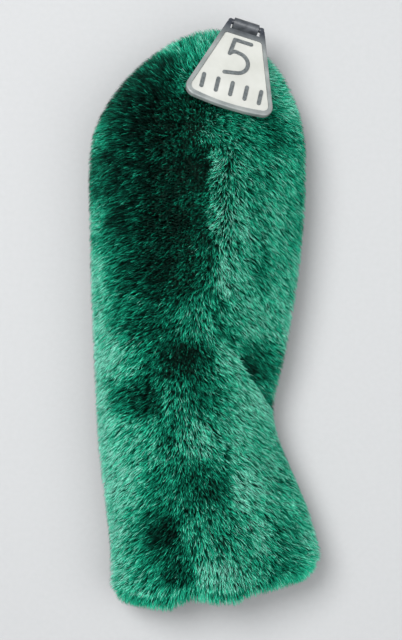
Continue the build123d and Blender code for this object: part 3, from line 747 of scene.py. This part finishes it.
def pressed_by_tag(points, gap):
    """Points of the pile pressed down to just under the tag where it lies on them."""
    right, up, out = tag_axes()
    corners = np.array([v.co for v in frame["nodes"]["tag_frame"].data.vertices]) - BAR
    x, y, z = corners @ right, corners @ up, corners @ out
    top_half = np.abs(x[y > -2 * MM]).max()
    slope = (np.abs(x).max() - top_half) / -y.min()
    under, bottom = z.min(), y.min()
    local = points - BAR
    x, y, z = local @ right, local @ up, local @ out
    beside = np.abs(x) - top_half - np.maximum(-y, 0) * slope
    covers = ease(3 * MM, 1 * MM, beside) * ease(6 * MM, 2 * MM, y)
    covers = covers * ease(bottom - 3 * MM, bottom - 1 * MM, y)
    over = np.maximum(z - under + gap, 0) * covers
    return points - out * over[..., None]


def strap_axes():
    """The strap's own axes: across it, along it from its hinge to the bar, and out of its face."""
    along = unit(BAR - STRAP_HINGE)
    right = unit(TAG_RIGHT)
    return right, along, np.cross(right, along)


def clear_of_strap(centres):
    """Which fibres, given as rows of points, leave room for the strap and its swing."""
    right, along, out = strap_axes()
    local = centres - STRAP_HINGE
    x, y, z = local @ right, local @ along, local @ out
    swept = (np.abs(x) < SWING_HALF) & (y > SWING_START) & (z < SWING_TOP)
    swept &= z > -SWING_DEPTH - np.maximum(y, 0) * SWING_FALL
    return ~swept.any(axis=1)


def fibre_arrays(centres, radius):
    """Points and faces of closed, three-sided, pointed fibres along rows of four centre points."""
    count = len(centres)
    ways = unit(np.diff(centres, axis=1))
    bend = np.cross(ways[:, 0], ways[:, 2]) + np.cross(ways[:, 0], (0.31, 0.17, 0.93)) * 0.02
    side = unit(bend)
    rings = []
    for k in range(3):
        way = unit(ways[:, max(k - 1, 0)] + ways[:, k])
        a = unit(side - way * (side * way).sum(1, keepdims=True))
        b = np.cross(way, a)
        for m in range(3):
            angle = 2 * math.pi * m / 3
            offset = (a * math.cos(angle) + b * math.sin(angle)) * (radius * FIBRE_TAPER[k])[:, None]
            rings.append(centres[:, k] + offset)
    rings.append(centres[:, 3])
    points = np.stack(rings, axis=1).reshape(-1, 3)
    quads = [(3 * k + m, 3 * k + (m + 1) % 3, 3 * k + 3 + (m + 1) % 3, 3 * k + 3 + m)
             for k in range(2) for m in range(3)]
    triangles = [(6 + m, 6 + (m + 1) % 3, 9) for m in range(3)] + [(0, 2, 1)]
    start = (np.arange(count) * FIBRE_POINTS)[:, None, None]
    return points, (np.array(quads) + start).reshape(-1, 4), (np.array(triangles) + start).reshape(-1, 3)


def bake_map(piece, cells, grid):
    """A UV map in which fibres with the same cell of the grid share it, roots low and tips high."""
    v = FIBRE_REACH
    quads = [[(m / 3, v[k]), ((m + 1) / 3, v[k]), ((m + 1) / 3, v[k + 1]), (m / 3, v[k + 1])]
             for k in range(2) for m in range(3)]
    tips = [[(m / 3, v[2]), ((m + 1) / 3, v[2]), ((m + 0.5) / 3, v[3])] for m in range(3)]
    cap = [[(0.1, 0.0), (0.5, 0.04), (0.9, 0.0)]]
    corners = (np.array(quads).reshape(-1, 2), np.array(tips + cap).reshape(-1, 2))
    low = np.stack([cells % grid, cells // grid], axis=1)[:, None, :]
    maps = [(low + 0.08 + 0.84 * c[None]) / grid for c in corners]
    layer = piece.data.uv_layers.new(name="OFBake")
    layer.data.foreach_set("uv", np.concatenate([m.reshape(-1) for m in maps]).astype(np.float32))


def pile_piece(name, centres, radius, light):
    """One object of many fibres, with how light each is, tone and painted light and shade together, and how
    far along it every point lies.
    """
    points, quads, triangles = fibre_arrays(centres, radius)
    piece = mesh_piece(name, points, quads, triangles)
    reach = np.tile(np.repeat(FIBRE_REACH, [3, 3, 3, 1]), len(centres))
    for title, values in (("reach", reach), ("lightness", np.repeat(light, FIBRE_POINTS))):
        layer = piece.data.attributes.new(title, "FLOAT", "POINT")
        layer.data.foreach_set("value", values.astype(np.float32))
    roots = centres[:, 0]
    low, high = roots.min(0), roots.max(0)
    grid = 28
    place = np.minimum(((roots - low) / np.maximum(high - low, 1e-9) * grid).astype(int), grid - 1)
    order = np.argsort(-(high - low))[:2]
    bake_map(piece, place[:, order[0]] + place[:, order[1]] * grid, grid)
    return piece


def grow(rows, turns, props, rng, front):
    """Centre points of the fibres that stand at these rows and turns, and how light each is: its tone with
    painted light, shade and glints.
    """
    form = cover_form()
    roots = form.at(rows, turns, GROUND[0] + ROOT_SINK)
    tops = form.at(rows, turns, -TIP_RISE)
    out = unit(tops - roots)
    height = np.linalg.norm(tops - roots, axis=1)
    x, y = tops[:, 0] / MM, tops[:, 1] / MM
    if front:
        heading, lean, light = groom_at(x, y)
        # Painted light and shade at the crease: a painted highlight on the skirt's lip beside it, and a
        # painted shadow on the head where it folds behind the skirt.
        crease, along = side_of_line(x, y, CREASE)
        strong = 0.35 + 0.65 * ease(0.0, 0.6, along)
        light += strong * 0.2 * np.exp(-np.maximum(-crease, 0) / 7) * (crease < 0)
        light -= strong * 0.5 * np.exp(-np.maximum(crease, 0) / 8) * (crease >= 0)
        # Painted light and shade along the parting: its raised side painted lighter and its other side
        # darker, as light falls across its ridge.
        parting, _ = side_of_line(x, y, PARTING)
        parting = parting + 2.2 * ripple(tops / MM, 11.0, 17)
        strength = ease(112, 90, y) * ease(-14, 2, y)
        light += strength * np.where(parting > 0, 0.16, -0.14) * np.exp(-np.abs(parting) / 7)
    else:
        centre = form.spine[np.clip(rows.astype(int), 0, form.last), 0] / MM
        heading = np.radians(270 + 22 * np.tanh((x - centre) / 30))
        lean = np.full(len(x), math.radians(58))
        light = 0.55 + 0.18 * ripple(tops / MM, 38.0, 21)
    heading = heading + math.radians(14) * ripple(tops / MM, 6.0, 11)
    heading = heading + rng.normal(0, math.radians(13), len(x))
    lean = lean * 0.72 + math.radians(7) * ripple(tops / MM, 8.0, 12)
    lean = lean + rng.normal(0, math.radians(8), len(x))
    steepest = np.radians(38 + 10 * ease(0.1, 0.7, out[:, 2]))
    lean = np.clip(lean, math.radians(5), steepest)
    droop = np.where(out[:, 2] < 0.4, -0.25, 0.0)
    flow = np.stack([np.cos(heading), np.sin(heading), droop], axis=1)
    flow = unit(flow - out * (flow * out).sum(1, keepdims=True))
    near_mouth = ease(14 * MM, 0.0, rows * form.step)[:, None]
    flow = unit(flow + MOUTH_OUT * near_mouth * 1.2)
    flow = unit(flow - out * (flow * out).sum(1, keepdims=True))
    rise = sum(portion * np.cos(lean * share) for share, portion in BEND)
    length = np.minimum(props.pile_length, height / rise)
    length = length * rng.uniform(0.78, 1.04, len(x)) * (1 - 0.25 * near_mouth[:, 0])
    centres = [roots]
    for share, portion in BEND:
        angle = (lean * share)[:, None]
        way = out * np.cos(angle) + flow * np.sin(angle)
        centres.append(centres[-1] + way * (length * portion)[:, None])
    tufts = 0.05 * ripple(tops / MM, 12.0, 13) + 0.27 * ripple(tops / MM, 1.7, 14) * (0.25 + light)
    light = light * 1.1 + tufts + rng.normal(0, 0.3, len(x)) * (0.25 + light)
    # Painted glints: a few fibres in every hundred painted lighter, as light glancing off their sheen.
    painted_glint = rng.random(len(x)) < 0.06
    light = np.clip(light + painted_glint * 0.35, 0.0, 1.0)
    return np.stack(centres, axis=1), light


def fringe(props, rng):
    """The fibres that stand on the hem's fold, fanning out past it and in towards the mouth."""
    form = cover_form()
    count = props.fringe_count
    turns = rng.random(count)
    angle = np.radians(rng.uniform(5, 165, count))
    middle, reach = (GROUND[0] + HEM_TURN[1]) / 2, (HEM_TURN[1] - GROUND[0]) / 2
    rows = form.row_at(FOLD_DEPTH - reach * np.sin(angle))
    insets = middle - reach * np.cos(angle)
    roots = form.at(rows, turns, insets + 0.2 * MM * np.cos(angle))
    outward = unit(form.at(rows, turns, 0.0) - form.at(rows, turns, 8 * MM))
    way = unit(outward * np.cos(angle)[:, None] + MOUTH_OUT * np.sin(angle)[:, None])
    inward = ease(math.pi / 2, math.pi, angle)
    length = FRINGE_LENGTH * rng.uniform(0.75, 1.05, count) * (1 - 0.45 * inward)
    bent = unit(way + MOUTH_OUT * 0.7 + rng.normal(0, 0.16, (count, 3)))
    centres = [roots]
    for share, portion in FRINGE_BEND:
        step = unit(way * (1 - share) + bent * share)
        centres.append(centres[-1] + step * (length * portion)[:, None])
    light = 0.62 + 0.12 * ripple(roots / MM, 14.0, 31) + rng.normal(0, 0.13, count)
    # Painted shade: the fibres that turn in towards the mouth are painted darker, as the shade inside it.
    light -= 0.35 * ease(math.radians(95), math.radians(150), angle)
    return np.stack(centres, axis=1), np.clip(light, 0.0, 1.0)


def on_table(centres):
    """Fibres kept above the table that the cover lies on."""
    lifted = centres.copy()
    lifted[..., 2] = np.maximum(lifted[..., 2], TABLE_GAP)
    return lifted


# ---------------------------------------------------------------- thread and strap


def thread_stitches(name, node, radius, follows):
    """Rounded stitches, one for each stitch of a CAD node, moved with the cloth's folds if they follow it."""
    mesh = frame["nodes"][node].data
    count = len(mesh.vertices)
    points = np.empty(count * 3)
    mesh.vertices.foreach_get("co", points)
    points = points.reshape(-1, 3)
    keys = {}
    label = np.arange(count)
    for i, p in enumerate(map(tuple, np.round(points, 6))):
        label[i] = keys.setdefault(p, i)

    def root(i):
        while label[i] != i:
            label[i] = label[label[i]]
            i = label[i]
        return i

    for polygon in mesh.polygons:
        first = root(polygon.vertices[0])
        for vertex in polygon.vertices[1:]:
            label[root(vertex)] = first
    groups = {}
    for i in range(count):
        groups.setdefault(root(i), []).append(points[i])
    made_points, made_quads, made_triangles, sides = [], [], [], THREAD_SIDES
    for corners in groups.values():
        corners = np.array(corners)
        centre = corners.mean(0)
        axes = np.linalg.svd(corners - centre, full_matrices=False)[2]
        spans = [np.abs((corners - centre) @ axis).max() for axis in axes]
        stations = np.linspace(-1, 1, THREAD_RINGS)
        start = len(made_points)
        for s in stations:
            middle = centre + axes[0] * spans[0] * s
            thick = radius * math.sqrt(max(1 - s ** 6, 0.05))
            for m in range(sides):
                angle = 2 * math.pi * m / sides
                around = axes[1] * math.cos(angle) * 1.25 + axes[2] * math.sin(angle)
                made_points.append(middle + around * thick)
        turn = np.dot(np.cross(axes[1], axes[2]), axes[0])
        for k in range(len(stations) - 1):
            this, above = start + sides * k, start + sides * (k + 1)
            for m in range(sides):
                quad = [this + m, this + (m + 1) % sides, above + (m + 1) % sides, above + m]
                made_quads.append(quad if turn > 0 else quad[::-1])
        for row, flip in ((0, turn > 0), (len(stations) - 1, turn <= 0)):
            ring = [start + sides * row + m for m in range(sides)]
            ring = ring[::-1] if flip else ring
            made_triangles += [(ring[0], ring[m], ring[m + 1]) for m in range(1, sides - 1)]
    made_points = np.array(made_points)
    if follows:
        form = cover_form()
        row = np.clip((MOUTH_MIDDLE - made_points) @ MOUTH_OUT / form.step, 0, form.last)
        frontness = ease(0.05, 0.75, (made_points[:, 2] - SEAM_Z) / form.front[row.astype(int)])
        made_points += form.sculpt(made_points, frontness, row)
    return mesh_piece(name, made_points, made_quads, made_triangles)


def strap_strip(props):
    """One vinyl strip: up from the crown's seam, round the tag's bar and back down on itself."""
    right, along, out = strap_axes()
    reach = np.linalg.norm(BAR - STRAP_HINGE)
    low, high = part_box("strap_tail")
    tail = (Vector(low) + Vector(high)) / 2
    tail_end = 2 * (np.array(tail) - STRAP_HINGE) @ along
    half = props.strap_thick / 2
    ply = half + STRAP_PLY_GAP
    eye = STRAP_EYE
    path = [(tail_end, ply), (tail_end * 0.5, ply), (0.0, ply), (reach * 0.35, ply)]
    path.append((reach - eye * 2.2, ply * 1.1))
    for angle in np.radians(np.linspace(130, -130, 19)):
        path.append((reach + eye * math.cos(angle), eye * math.sin(angle)))
    path += [(y, -z) for y, z in reversed(path[:5])]
    path = smooth_path(np.array(path), STRAP_SAMPLES)
    tangent = np.gradient(path, axis=0)
    tangent /= np.linalg.norm(tangent, axis=1, keepdims=True)
    normal = np.stack([-tangent[:, 1], tangent[:, 0]], axis=1)
    half_width = props.strap_width / 2
    corner = half * 0.8
    outline = []
    for sx, sz, start in ((1, 1, 0), (-1, 1, 90), (-1, -1, 180), (1, -1, 270)):
        for angle in np.radians(np.linspace(start, start + 90, 4)):
            outline.append((sx * (half_width - corner) + corner * math.cos(angle),
                            sz * (half - corner) + corner * math.sin(angle)))
    points = []
    for (y, z), (ny, nz) in zip(path, normal):
        for across, thick in outline:
            points.append(STRAP_HINGE + right * across + along * (y + ny * thick) + out * (z + nz * thick))
    n, m = len(path), len(outline)
    index = np.arange(n * m).reshape(n, m)
    nxt = np.roll(index, -1, axis=1)
    quads = np.stack([index[:-1], index[1:], nxt[1:], nxt[:-1]], axis=2).reshape(-1, 4)
    triangles = [(index[0, 0], index[0, k], index[0, k + 1]) for k in range(1, m - 1)]
    triangles += [(index[-1, 0], index[-1, k + 1], index[-1, k]) for k in range(1, m - 1)]
    return mesh_piece("vinyl_strap", points, quads, triangles)


def smooth_path(path, count):
    """A path resampled evenly. A known fault: the quarter points come before the path's own points and not
    between them, so the result runs over the same way more than three times.
    """
    for _ in range(2):
        path = np.concatenate([path[:1], path[:-1] * 0.75 + path[1:] * 0.25, path[1:], path[-1:]])
    length = np.concatenate([[0], np.cumsum(np.linalg.norm(np.diff(path, axis=0), axis=1))])
    even = np.linspace(0, length[-1], count)
    return np.stack([np.interp(even, length, path[:, k]) for k in range(2)], axis=1)


# ---------------------------------------------------------------- what a user would change


class HeadCoverSizes(bpy.types.PropertyGroup):
    """Sizes of the pile, the strap and the studio."""

    pile_length: FloatProperty(
        name="Pile length", description="Length of a fibre from the ground cloth to its tip",
        default=11 * MM, unit="LENGTH",
    )
    fibre_width: FloatProperty(
        name="Fibre width", description="Width of one drawn fibre, a tuft of real ones",
        default=0.32 * MM, precision=5, unit="LENGTH",
    )
    front_density: FloatProperty(
        name="Front density", description="Drawn fibres to the square millimetre on the front", default=1.9,
    )
    back_density: FloatProperty(
        name="Back density", description="Drawn fibres to the square millimetre on the back", default=0.85,
    )
    fringe_count: IntProperty(
        name="Fringe fibres", description="Drawn fibres on the fold of the hem", default=9000,
    )
    strap_width: FloatProperty(
        name="Strap width", description="Width of the vinyl strap", default=14.5 * MM, unit="LENGTH",
    )
    strap_thick: FloatProperty(
        name="Strap thickness", description="Thickness of one ply of the strap",
        default=0.85 * MM, precision=5, unit="LENGTH",
    )
    camera_height: FloatProperty(
        name="Camera height", description="Height of the camera over the table", default=0.93, unit="LENGTH",
    )
    view_long_side: FloatProperty(
        name="View length", description="What the long side of the picture takes in at the cover's middle",
        default=0.3584, unit="LENGTH",
    )


class HeadCoverColours(bpy.types.PropertyGroup):
    """Colours of the studio."""

    key_light: FloatVectorProperty(
        name="Key light", description="Colour of the main light", default=(1.0, 1.0, 1.0), subtype="COLOR",
    )


# ---------------------------------------------------------------- one operator for each piece


class HEADCOVER_OT_ground(bpy.types.Operator):
    """Sew the knitted ground cloth of both panels, with its hem turned up inside the mouth"""

    bl_idname = "headcover.ground"
    bl_label = "Ground Cloth"

    def execute(self, context):
        cloth = knit_ground()
        outer, inner = ground_paths()
        for side, turns in PANEL_TURNS:
            piece = wrapped_solid(f"{side}_ground_cloth", outer, inner, turns)
            finish_piece(piece, "cover", "pile_plush", cloth, f"{side}_pile_panel")
        return {"FINISHED"}


class HEADCOVER_OT_pile(bpy.types.Operator):
    """Grow the plush pile on the ground cloth, band by band, combed as it lies"""

    bl_idname = "headcover.pile"
    bl_label = "Plush Pile"

    def execute(self, context):
        props = context.scene.head_cover_sizes
        fibre = acrylic_pile()
        form = cover_form()
        for front, bands, density, turns in (
            (True, FRONT_BANDS, props.front_density, (-0.03, 0.53)),
            (False, BACK_BANDS, props.back_density, (0.53, 0.97)),
        ):
            side = "front" if front else "back"
            low = form.row_at(PILE_START)
            for number, (band, end) in enumerate(bands):
                rng = np.random.default_rng(SEED_PILE + number + 10 * front)
                high = min(form.row_at_y(end * MM), form.last - 0.3)
                rows, around = scatter(density, turns, rng, low, high)
                centres, light = grow(rows, around, props, rng, front)
                if front and end > TAG_REACHES_DOWN_TO:
                    centres = pressed_by_tag(centres, TAG_GAP)
                centres = on_table(centres)
                keep = clear_of_strap(centres)
                centres, light = centres[keep], light[keep]
                widen = 1.0 if front else BACK_FIBRE_WIDTH
                radius = props.fibre_width / 2 * rng.uniform(0.75, 1.2, len(light)) * widen
                piece = pile_piece(f"{side}_pile_{band}", centres, radius, light)
                finish_piece(piece, "cover", "pile_plush", fibre)
                low = high
        rng = np.random.default_rng(SEED_FRINGE)
        centres, light = fringe(props, rng)
        radius = props.fibre_width / 2 * rng.uniform(0.8, 1.25, len(light))
        piece = pile_piece("hem_pile_fringe", on_table(centres), radius, light)
        finish_piece(piece, "cover", "pile_plush", fibre)
        return {"FINISHED"}


class HEADCOVER_OT_lining(bpy.types.Operator):
    """Hang the brushed lining inside the cover, gathered by the throat's elastic"""

    bl_idname = "headcover.lining"
    bl_label = "Lining"

    def execute(self, context):
        form = cover_form()
        cloth = brushed_lining()
        for side, turns in PANEL_TURNS:
            paths = layer_paths(KNIT, form.row_at(LAYER_START), form.last - 0.6)
            piece = wrapped_solid(f"{side}_lining_cloth", *paths, turns, slack=LINING_SLACK)
            finish_piece(piece, "cover", "lining_knit", cloth, f"{side}_lining")
        return {"FINISHED"}


class HEADCOVER_OT_padding(bpy.types.Operator):
    """Lay the foam interlining in the head and in the skirt, clear of the throat"""

    bl_idname = "headcover.padding"
    bl_label = "Foam Padding"

    def execute(self, context):
        form = cover_form()
        foam = open_cell_foam()
        below, above = (form.row_at_y(THROAT_Y + d * FOAM_CUT_HALF * MM) for d in (-1, 1))
        for side, turns in PANEL_TURNS:
            parts = [
                wrapped_solid("part", *layer_paths(FOAM, form.row_at(LAYER_START), below, 50), turns),
                wrapped_solid("part", *layer_paths(FOAM, above, form.last - 0.5, 90), turns),
            ]
            piece = joined(f"{side}_foam_padding", parts)
            finish_piece(piece, "cover", "foam", foam, f"{side}_padding")
        return {"FINISHED"}


class HEADCOVER_OT_throat(bpy.types.Operator):
    """Thread the elastic through its casing round the throat"""

    bl_idname = "headcover.throat"
    bl_label = "Throat Elastic"

    def execute(self, context):
        form = cover_form()
        ring = np.linspace(0.0, 1.0, 201)
        span = [form.row_at_y(THROAT_Y + d * ELASTIC_HALF * MM) for d in (-1, 1)]
        band = wrapped_solid("ribbed_elastic", *layer_paths(ELASTIC, *span, 24), ring)
        elastic = woven_band("elastic_woven", "#b9b9b4", "#efefec", 1.1 * MM)
        finish_piece(band, "cover", "elastic", elastic, "throat_elastic")
        low, high = (form.row_at_y(THROAT_Y + d * CASING_HALF * MM) for d in (-1, 1))
        lip, step = form.row_at(CASING_LIP), form.row_at(CASING_STEP)
        roof = CASING[1] - CASING_WALL
        outside = [(high, CASING[0]), (high - lip, CASING[0]), (high - lip - step, roof)]
        outside += [(row, roof) for row in np.linspace(high - lip - 1, low + lip + 1, 20)]
        outside += [(low + lip + step, roof), (low + lip, CASING[0]), (low, CASING[0])]
        inside = [(row, CASING[1]) for row, _ in outside]
        tape = wrapped_solid("casing_tape", outside, inside, ring)
        twill = woven_band("twill_tape_woven", "#03140f", "#0c3b2c", 0.9 * MM)
        finish_piece(tape, "cover", "binding_tape", twill, "elastic_casing")
        return {"FINISHED"}


class HEADCOVER_OT_seams(bpy.types.Operator):
    """Finish the bound seam allowance, and sew the seam and the hem"""

    bl_idname = "headcover.seams"
    bl_label = "Binding and Thread"

    def execute(self, context):
        binding = frame["nodes"]["seam_binding"]
        binding.data.materials.clear()
        binding.data.materials.append(woven_band("twill_binding_woven", "#03140f", "#0d4031", 0.9 * MM))
        thread = spun_thread()
        for node, body in (
            ("seam_stitches", "cover"), ("hem_stitches", "cover"), ("strap_loop_stitches", "strap"),
        ):
            name = node.replace("stitches", "thread")
            piece = thread_stitches(name, node, THREAD_RADIUS, body == "cover")
            finish_piece(piece, body, "thread", thread, node)
        return {"FINISHED"}


class HEADCOVER_OT_strap(bpy.types.Operator):
    """Loop the vinyl strap through the tag and sew it into the crown"""

    bl_idname = "headcover.strap"
    bl_label = "Vinyl Strap"

    def execute(self, context):
        piece = strap_strip(context.scene.head_cover_sizes)
        piece.data.materials.append(strap_vinyl())
        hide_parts("strap_loop", "strap_tail")
        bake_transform(piece)
        return {"FINISHED"}


class HEADCOVER_OT_tag(bpy.types.Operator):
    """Finish the moulded tag: its smoky frame, its cream plate and the marks on it"""

    bl_idname = "headcover.tag"
    bl_label = "Number Tag"

    def execute(self, context):
        grey = grey_vinyl()
        for node, material in (
            ("tag_frame", smoky_vinyl()), ("tag_face_plate", cream_vinyl()),
            ("tag_numeral", grey), ("tag_tally_marks", grey),
        ):
            mesh = frame["nodes"][node].data
            mesh.materials.clear()
            mesh.materials.append(material)
        return {"FINISHED"}


class HEADCOVER_OT_stage(bpy.types.Operator):
    """Set the pale paper sweep, the soft lights and the camera straight above"""

    bl_idname = "headcover.stage"
    bl_label = "Studio"

    def execute(self, context):
        props = context.scene.head_cover_sizes
        scene = context.scene
        scene.view_settings.view_transform = "Standard"
        paper = paper_sweep()
        paper.data.materials.append(studio_paper())
        for name, place, size, power in (
            ("key", (-0.5, 0.45, 1.3), 0.8, 25.0),
            ("fill", (0.75, -0.25, 1.1), 1.2, 8.0),
            ("top", (0.0, 0.0, 1.6), 1.2, 9.0),
        ):
            lamp = bpy.data.lights.new(name, "AREA")
            lamp.shape, lamp.size, lamp.energy = "DISK", size, power
            lamp.color = context.scene.head_cover_colours.key_light
            body = bpy.data.objects.new(name, lamp)
            body.location = place
            body.rotation_euler = (-Vector(place)).to_track_quat("-Z", "Y").to_euler()
            scene.collection.objects.link(body)
        world = bpy.data.worlds.new("studio")
        world.use_nodes = True
        world.node_tree.nodes["Background"].inputs["Color"].default_value = linear("#eef0f2")
        world.node_tree.nodes["Background"].inputs["Strength"].default_value = 0.6
        scene.world = world
        lens = bpy.data.cameras.new("camera")
        lens.sensor_width = 36
        middle = 30 * MM
        lens.lens = lens.sensor_width * (props.camera_height - middle) / props.view_long_side
        lens.clip_start, lens.clip_end = 0.01, 50
        camera = bpy.data.objects.new("camera", lens)
        camera.location = (-2.2 * MM, -3.4 * MM, props.camera_height)
        scene.collection.objects.link(camera)
        scene.camera = camera
        return {"FINISHED"}


def paper_sweep():
    """A wide round floor of paper that sweeps up into a wall all round."""
    flat, bend, tall = 1.8, 1.5, 2.6
    profile = [(r, 0.0) for r in np.linspace(0.05, flat, 8)]
    profile += [(flat + bend * math.sin(a), bend * (1 - math.cos(a))) for a in np.radians(range(6, 91, 6))]
    profile.append((flat + bend, tall))
    turns = np.radians(np.arange(0, 360, 5))
    points = [(r * math.cos(a), r * math.sin(a), z) for r, z in profile for a in turns]
    count = len(turns)
    index = np.arange(len(points)).reshape(-1, count)
    nxt = np.roll(index, -1, axis=1)
    quads = np.stack([index[:-1], index[1:], nxt[1:], nxt[:-1]], axis=2).reshape(-1, 4)
    middle = len(points)
    points.append((0.0, 0.0, 0.0))
    triangles = [(middle, index[0, k], nxt[0, k]) for k in range(count)]
    return mesh_piece("paper_sweep", points, quads, triangles)


class HEADCOVER_PT_panel(bpy.types.Panel):
    """Every piece of the head cover, in the order that it is made"""

    bl_idname = "HEADCOVER_PT_panel"
    bl_label = "Head Cover"
    bl_space_type = "VIEW_3D"
    bl_region_type = "UI"
    bl_category = "Head Cover"

    def draw(self, context):
        column = self.layout.column()
        for group in (context.scene.head_cover_sizes, context.scene.head_cover_colours):
            for name in group.__annotations__:
                column.prop(group, name)
        for piece in PIECES:
            column.operator(piece.bl_idname)


PIECES = (
    HEADCOVER_OT_stage,
    HEADCOVER_OT_ground,
    HEADCOVER_OT_pile,
    HEADCOVER_OT_lining,
    HEADCOVER_OT_padding,
    HEADCOVER_OT_throat,
    HEADCOVER_OT_seams,
    HEADCOVER_OT_strap,
    HEADCOVER_OT_tag,
)
CLASSES = (HeadCoverSizes, HeadCoverColours, *PIECES, HEADCOVER_PT_panel)


def register():
    for cls in CLASSES:
        bpy.utils.register_class(cls)
    bpy.types.Scene.head_cover_sizes = PointerProperty(type=HeadCoverSizes)
    bpy.types.Scene.head_cover_colours = PointerProperty(type=HeadCoverColours)


def unregister():
    del bpy.types.Scene.head_cover_colours
    del bpy.types.Scene.head_cover_sizes
    for cls in reversed(CLASSES):
        bpy.utils.unregister_class(cls)


def main():
    """Makes the whole cover."""
    register()
    for piece in PIECES:
        group, name = piece.bl_idname.split(".")
        getattr(getattr(bpy.ops, group), name)()


if __name__ == "__main__":
    main()
